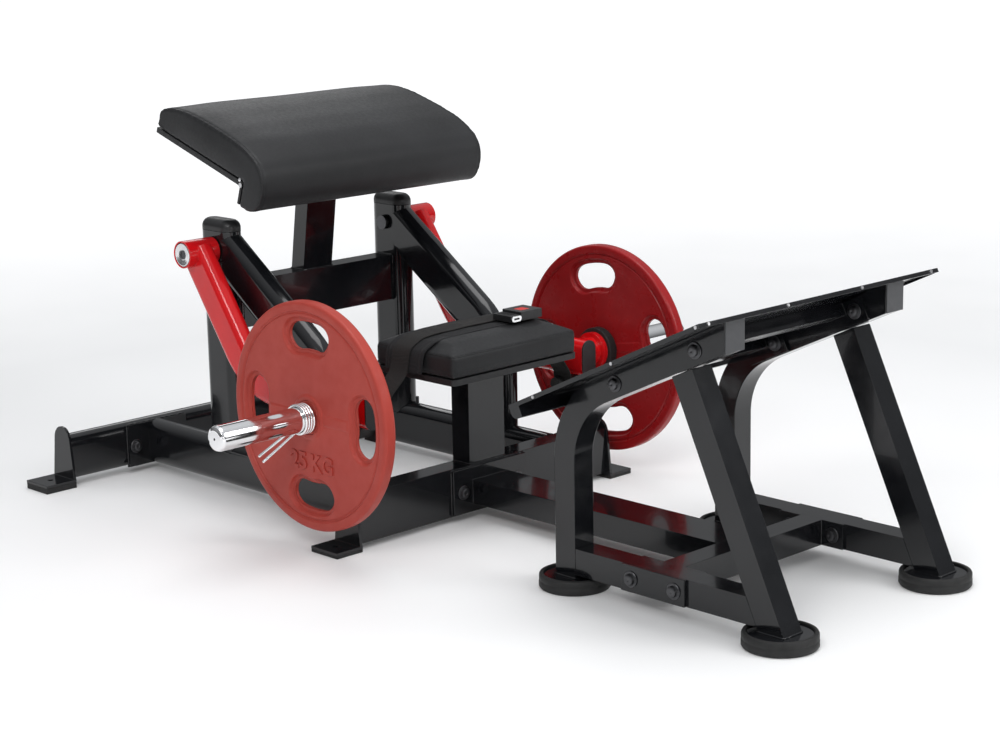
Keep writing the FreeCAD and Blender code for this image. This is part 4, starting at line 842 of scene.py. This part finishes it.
def plate_solid(outer, bore, tall):
    """The turned disc with its four hand holes cut out, lying flat with its outer face up."""
    def disc(grid):
        profile = plate_profile(outer, bore, tall)
        add_lathe(grid, profile + profile[:1], Matrix.Identity(4), 160)
        bmesh.ops.remove_doubles(grid, verts=grid.verts, dist=1e-6)

    def holes(grid):
        outline = window_outline()
        for quarter in range(4):
            turn = Matrix.Rotation(math.tau * quarter / 4, 4, "Z")
            rings = [[grid.verts.new(turn @ (point + Z * level)) for point in outline]
                     for level in (-2 * tall, tall)]
            count = len(outline)
            for step in range(count):
                after = (step + 1) % count
                grid.faces.new([rings[0][step], rings[0][after], rings[1][after], rings[1][step]])
            grid.faces.new(rings[0][::-1])
            grid.faces.new(rings[1])
    blank = bpy.data.objects.new("plate_blank", mesh_of("plate_blank", disc))
    cutter = bpy.data.objects.new("plate_cutter", mesh_of("plate_cutter", holes))
    for thing in (blank, cutter):
        SCENE.collection.objects.link(thing)
    cut = blank.modifiers.new("holes", "BOOLEAN")
    cut.operation = "DIFFERENCE"
    cut.solver = "EXACT"
    cut.object = cutter
    remesh = blank.modifiers.new("remesh", "REMESH")
    remesh.mode = "VOXEL"
    remesh.voxel_size = 0.0015
    soften = blank.modifiers.new("soften", "SMOOTH")
    soften.iterations = 2
    soften.factor = 0.5
    apply_modifiers(blank)
    mesh = blank.data
    for thing in (blank, cutter):
        bpy.data.objects.remove(thing)
    return mesh


def ease(start, end, value):
    """A smooth step from 0 to 1 between two values."""
    part = min(max((value - start) / (end - start), 0), 1)
    return part * part * (3 - 2 * part)


def mould_plate(mesh, tall):
    """Sink a soft-lipped recess round each hand hole and raise a low rib on each side of the hub."""
    recess_deep, rib_high = 0.0080, 0.0016
    outline = window_outline()
    tree = KDTree(len(outline) * 4)
    for quarter in range(4):
        turn = Matrix.Rotation(math.tau * quarter / 4, 4, "Z")
        for index, point in enumerate(outline):
            tree.insert(turn @ point, index)
    tree.balance()
    for vert in mesh.vertices:
        place = vert.co
        depth = place.z + tall / 2
        share = ease(0.003, 0.010, abs(depth))
        _, _, gap = tree.find(Vector((place.x, place.y, 0)))
        sunk = recess_deep * (1 - ease(0.0062, 0.0108, gap))
        rib = rib_high * ease(0.043, 0.047, abs(place.x)) * (1 - ease(0.112, 0.119, abs(place.x)))
        rib *= 1 - ease(0.0085, 0.0115, abs(place.y))
        vert.co.z += math.copysign(share, depth) * (rib - sunk)


def make_plate(side, sign):
    """A moulded rubber plate with hand holes, a raised hub and its weight in raised figures."""
    node = "weight_plate_" + side
    low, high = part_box(node)
    bore = (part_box("plate_bush_" + side)[1].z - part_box("plate_bush_" + side)[0].z) / 2
    tall = high.y - low.y
    mesh = plate_solid((high.z - low.z) / 2 + 0.0012, bore + 0.0002, tall)
    mould_plate(mesh, tall)
    mesh.transform(on_plate(side, sign))
    # The left (far) plate and its figures take the darker copy of the plate rubber: painted shade.
    look = "plate_red" if side == "right" else "plate_red_shaded_glossy"
    plate = new_piece("moulded_plate_" + side, mesh, look, BODY_OF[node])
    thin = plate.modifiers.new("thin", "DECIMATE")
    thin.ratio = 0.6
    apply_modifiers(plate)
    plate.data.materials.clear()
    plate.data.materials.append(LOOKS[look])
    shade(plate.data, 60)
    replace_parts(plate, node)

    words = bpy.data.curves.new("plate_mark", "FONT")
    words.body = "25 KG"
    words.size = 0.047
    words.align_x = "CENTER"
    words.extrude = 0.0016
    words.bevel_depth = 0.0006
    words.bevel_resolution = 1
    words.offset = 0.0011
    words.space_character = 1.06
    words.space_word = 0.6
    holder = bpy.data.objects.new("plate_mark", words)
    SCENE.collection.objects.link(holder)
    graph = bpy.context.evaluated_depsgraph_get()
    raised = bpy.data.meshes.new_from_object(holder.evaluated_get(graph))
    bpy.data.objects.remove(holder)
    below_hub = Vector((0.006, -0.105, -0.0027))
    raised.transform(on_plate(side, sign) @ Matrix.Translation(below_hub))
    shade(raised, 40)
    new_piece("plate_mark_" + side, raised, look, BODY_OF[node])


for plate_side, plate_sign in SIDES:
    make_plate(plate_side, plate_sign)


# ---------------------------------------------------------------- bolts and screws
def nearly(points, axis, level, slack):
    """The points close to one level along an axis."""
    return [point for point in points if abs(point[axis] - level) < slack]


def make_fastener_set(name, node, profile_of, look):
    """Every fastener of a CAD set, turned about its own axis, the one whose size is the odd one out."""
    def build(grid):
        for points in islands(node):
            low, high = box_of(points)
            size = high - low
            axis = max(range(3), key=lambda index: abs(3 * size[index] - sum(size)))
            middle = (low + high) / 2

            def widest(level):
                ring = nearly(points, axis, level, 0.0004)
                gaps = [(point - middle) - (X, Y, Z)[axis] * (point - middle)[axis] for point in ring]
                return max(gap.length for gap in gaps)
            foot, top = (low, high) if widest(low[axis]) >= widest(high[axis]) else (high, low)
            way = (X, Y, Z)[axis] * math.copysign(1, top[axis] - foot[axis])
            base = middle.copy()
            base[axis] = foot[axis]
            turn = Matrix.Rotation(RNG.random() * math.tau, 4, "Z")
            add_lathe(grid, profile_of(max(widest(foot[axis]), 0.002), widest(top[axis]), size[axis]),
                      place_along(base, way) @ turn, 36)
    mesh = mesh_of(name, build)
    shade(mesh, 35)
    piece = new_piece(name, mesh, look, BODY_OF[node])
    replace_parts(piece, node)
    return piece


def bolt_profile(foot, top, tall):
    """A washer with rolled edges under a domed flange head with a dimple."""
    if foot - top < 0.001:
        return [(foot, 0), (foot, tall - 0.001), (foot - 0.001, tall), (0, tall)]
    washer = 0.0024
    return [(foot - 0.0003, 0), (foot, 0.0006), (foot, washer - 0.0008), (foot - 0.0008, washer),
            (foot - 0.0028, washer), (foot - 0.0032, washer - 0.0004), (top + 0.0012, washer - 0.0004),
            (top + 0.0004, washer), (top, washer + 0.001), (top, tall - 0.0024), (top - 0.0006, tall - 0.001),
            (top - 0.0022, tall - 0.0002), (top * 0.5, tall), (top * 0.3, tall), (top * 0.22, tall - 0.0006),
            (0, tall - 0.0008)]


make_fastener_set("flange_bolts", "frame_bolts", bolt_profile, "black_steel")


def make_feet():
    """Rubber cup feet with a rolled rim and a waist, under steel discs welded to the legs."""
    def rings(grid):
        for points in islands("foot_rings"):
            low, high = box_of(points)
            middle = Vector(((low.x + high.x) / 2, (low.y + high.y) / 2, low.z))
            outer, tall = (high.x - low.x) / 2, high.z - low.z
            disc_low, disc_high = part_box("foot_discs")
            well = disc_low.z - low.z
            inner = max(math.hypot(point.x - middle.x, point.y - middle.y) for point in points
                        if abs(point.z - disc_low.z) < 0.0004)
            inner = min(inner, outer - 0.006)
            add_lathe(grid, [(0, 0), (outer * 0.5, 0), (outer - 0.006, 0), (outer - 0.002, 0.001),
                             (outer, 0.004), (outer, 0.0125), (outer - 0.0012, 0.0145),
                             (outer - 0.0012, 0.016), (outer - 0.0004, 0.0175),
                             (outer - 0.0004, tall - 0.004),
                             (outer - 0.0018, tall - 0.0012), (outer - 0.0045, tall), (inner + 0.0012, tall),
                             (inner, tall - 0.0012), (inner, well), (0, well)],
                      Matrix.Translation(middle), 72)
    mesh = mesh_of("rubber_feet", rings)
    shade(mesh, 35)
    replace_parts(new_piece("rubber_feet", mesh, "pad_rubber", BODY_OF["foot_rings"]), "foot_rings")


make_feet()


# ---------------------------------------------------------------- pivots
def make_pivot_caps():
    """A polished cap on each pivot with a rolled rim, a recessed black bolt and its hexagon socket."""
    def caps(grid):
        for sign in (-1, 1):
            place, radius, tall = pivot_place(sign)
            add_lathe(grid, [(radius, 0), (radius, tall - 0.0012), (radius - 0.0004, tall - 0.0005),
                             (radius - 0.0014, tall), (radius * 0.9, tall), (radius * 0.87, tall - 0.0004),
                             (radius * 0.5, tall - 0.0004), (radius * 0.47, tall - 0.0008),
                             (radius * 0.46, tall - 0.0016), (0, tall - 0.0016)], place, 64)

    def heads(grid):
        for sign in (-1, 1):
            place, radius, tall = pivot_place(sign)
            head = radius * 0.4
            add_lathe(grid, [(head, tall - 0.0018), (head, tall - 0.0006), (head * 0.93, tall - 0.0001),
                             (head * 0.58, tall - 0.0001)], place, 40)
            add_lathe(grid, [(head * 0.58, tall - 0.0001), (head * 0.55, tall - 0.0012), (0, tall - 0.0012)],
                      place, 6)
    mesh = mesh_of("pivot_caps", caps)
    shade(mesh, 30)
    node = "pivot_end_caps"
    piece = new_piece("pivot_caps", mesh, "cap_silver", BODY_OF[node])
    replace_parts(piece, node)
    mesh = mesh_of("pivot_bolt_heads", heads)
    shade(mesh, 30)
    new_piece("pivot_bolt_heads", mesh, "black_steel", BODY_OF[node])


def pivot_place(sign):
    """Where one pivot cap sits, with its radius and thickness."""
    points = [point for group in islands("pivot_end_caps") for point in group if point.y * sign > 0]
    low, high = box_of(points)
    middle = (low + high) / 2
    middle.y = low.y if sign > 0 else high.y
    return place_along(middle, Y * sign), (high.z - low.z) / 2, high.y - low.y


make_pivot_caps()


# ---------------------------------------------------------------- welds
def outline_at(node, way, level, slack=0.0012):
    """The hull of a CAD node's points near one level along a direction."""
    grid = grid_of(node)
    across = way.orthogonal().normalized()
    other = way.cross(across)
    flat = [vert.co.copy() for vert in grid.verts if abs(vert.co.dot(way) - level) < slack]
    grid.free()
    if len(flat) < 3:
        return None
    places = [(point.dot(across), point.dot(other)) for point in flat]
    order = geometry.convex_hull_2d(places)
    return [across * places[index][0] + other * places[index][1] + way * level for index in order]


def weld_ends():
    """(node, direction of the end that is welded) for every welded tube end that shows."""
    ends = [(f"upright_{side}", -Z) for side, _ in SIDES]
    ends += [("crossbar", Y), ("crossbar", -Y), ("seat_post", -Z), ("pad_post", -Z), ("centre_beam", -X)]
    ends += [(f"{leg}_{side}", -Z) for side, _ in SIDES for leg in ("bent_leg", "rear_leg")]
    ends += [(f"base_beam_{side}", way) for side, _ in SIDES for way in (X, -X)]
    return ends


def make_welds():
    def build(grid):
        for node, way in weld_ends():
            low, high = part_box(node)
            level = max(low.dot(way), high.dot(way))
            outline = outline_at(node, way, level)
            if outline:
                add_weld(grid, [point - way * 0.0006 for point in outline])
    mesh = mesh_of("frame_welds", build)
    shade(mesh, 60)
    new_piece("frame_welds", mesh, "frame_black", "frame")


make_welds()


# ---------------------------------------------------------------- buckle details
def make_buckle_trim():
    """Ribs on the tongue's grip and a pale slotted end plate."""
    low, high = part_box("buckle_tongue")
    middle = (low + high) / 2
    rib_pitch, rib_inset = 0.006, 0.008

    def ribs(grid):
        for step in range(4):
            y = middle.y + (step - 1.5) * rib_pitch
            ends = [Vector((x, y, high.z)) for x in (low.x + rib_inset, high.x - rib_inset)]
            add_tube(grid, ends, 0.0009, 6)

    def plate(grid):
        centre = Vector((high.x + 0.0012, middle.y, middle.z))
        outer = stadium(centre, 0.0135, 0.0058)
        inner = stadium(centre, 0.0078, 0.0020)
        add_ring_plate(grid, outer, inner, X * 0.0012)
    rib_mesh = mesh_of("tongue_ribs", ribs)
    shade(rib_mesh, 60)
    new_piece("tongue_ribs", rib_mesh, "black_plastic", BODY_OF["buckle_tongue"])
    plate_mesh = mesh_of("tongue_plate", plate)
    shade(plate_mesh, 40)
    new_piece("tongue_plate", plate_mesh, "chrome", BODY_OF["buckle_tongue"])


def stadium(centre, half_wide, half_tall, steps=12):
    """An upright slot outline facing +X."""
    points = []
    for end in (1, -1):
        for step in range(steps + 1):
            angle = -math.pi / 2 + math.pi * step / steps
            points.append(centre + Y * end * (half_wide - half_tall + half_tall * math.cos(angle))
                          + Z * end * half_tall * math.sin(angle))
    return points


def add_ring_plate(grid, outer, inner, depth):
    """A flat plate with a hole, between two outlines of equal counts."""
    rows = [[grid.verts.new(point + shift) for point in line]
            for line, shift in ((inner, -depth), (outer, -depth), (outer, depth), (inner, depth))]
    count = len(outer)
    for first, second in zip(rows, rows[1:] + rows[:1]):
        for step in range(count):
            after = (step + 1) % count
            grid.faces.new([first[step], first[after], second[after], second[step]])


make_buckle_trim()


aim_camera()
light_studio()


# ---------------------------------------------------------------- floor
def lay_floor():
    mesh = mesh_of("floor", lambda grid: bmesh.ops.create_grid(grid, x_segments=1, y_segments=1, size=30))
    floor = bpy.data.objects.new("floor", mesh)
    SCENE.collection.objects.link(floor)
    look = Look("pale_floor", (0.86, 0.86, 0.86), 0.55)
    look.link(look.spread(look.noise(3, 3), 0.5, 0.62), "Roughness")
    away = look.nodes.new("ShaderNodeVectorMath")
    away.operation = "LENGTH"
    look.links.new(look.position, away.inputs[0])
    # The floor glows, faintly beside the machine and more strongly further out: painted light that lifts the
    # shadows on it and fades it into the white backdrop.
    look.link(look.spread(away.outputs["Value"], 0.05, 0.62, 2.0, 5.5), "Emission Strength")
    look.set("Emission Color", (1, 1, 1, 1))
    mesh.materials.append(look.material)


lay_floor()
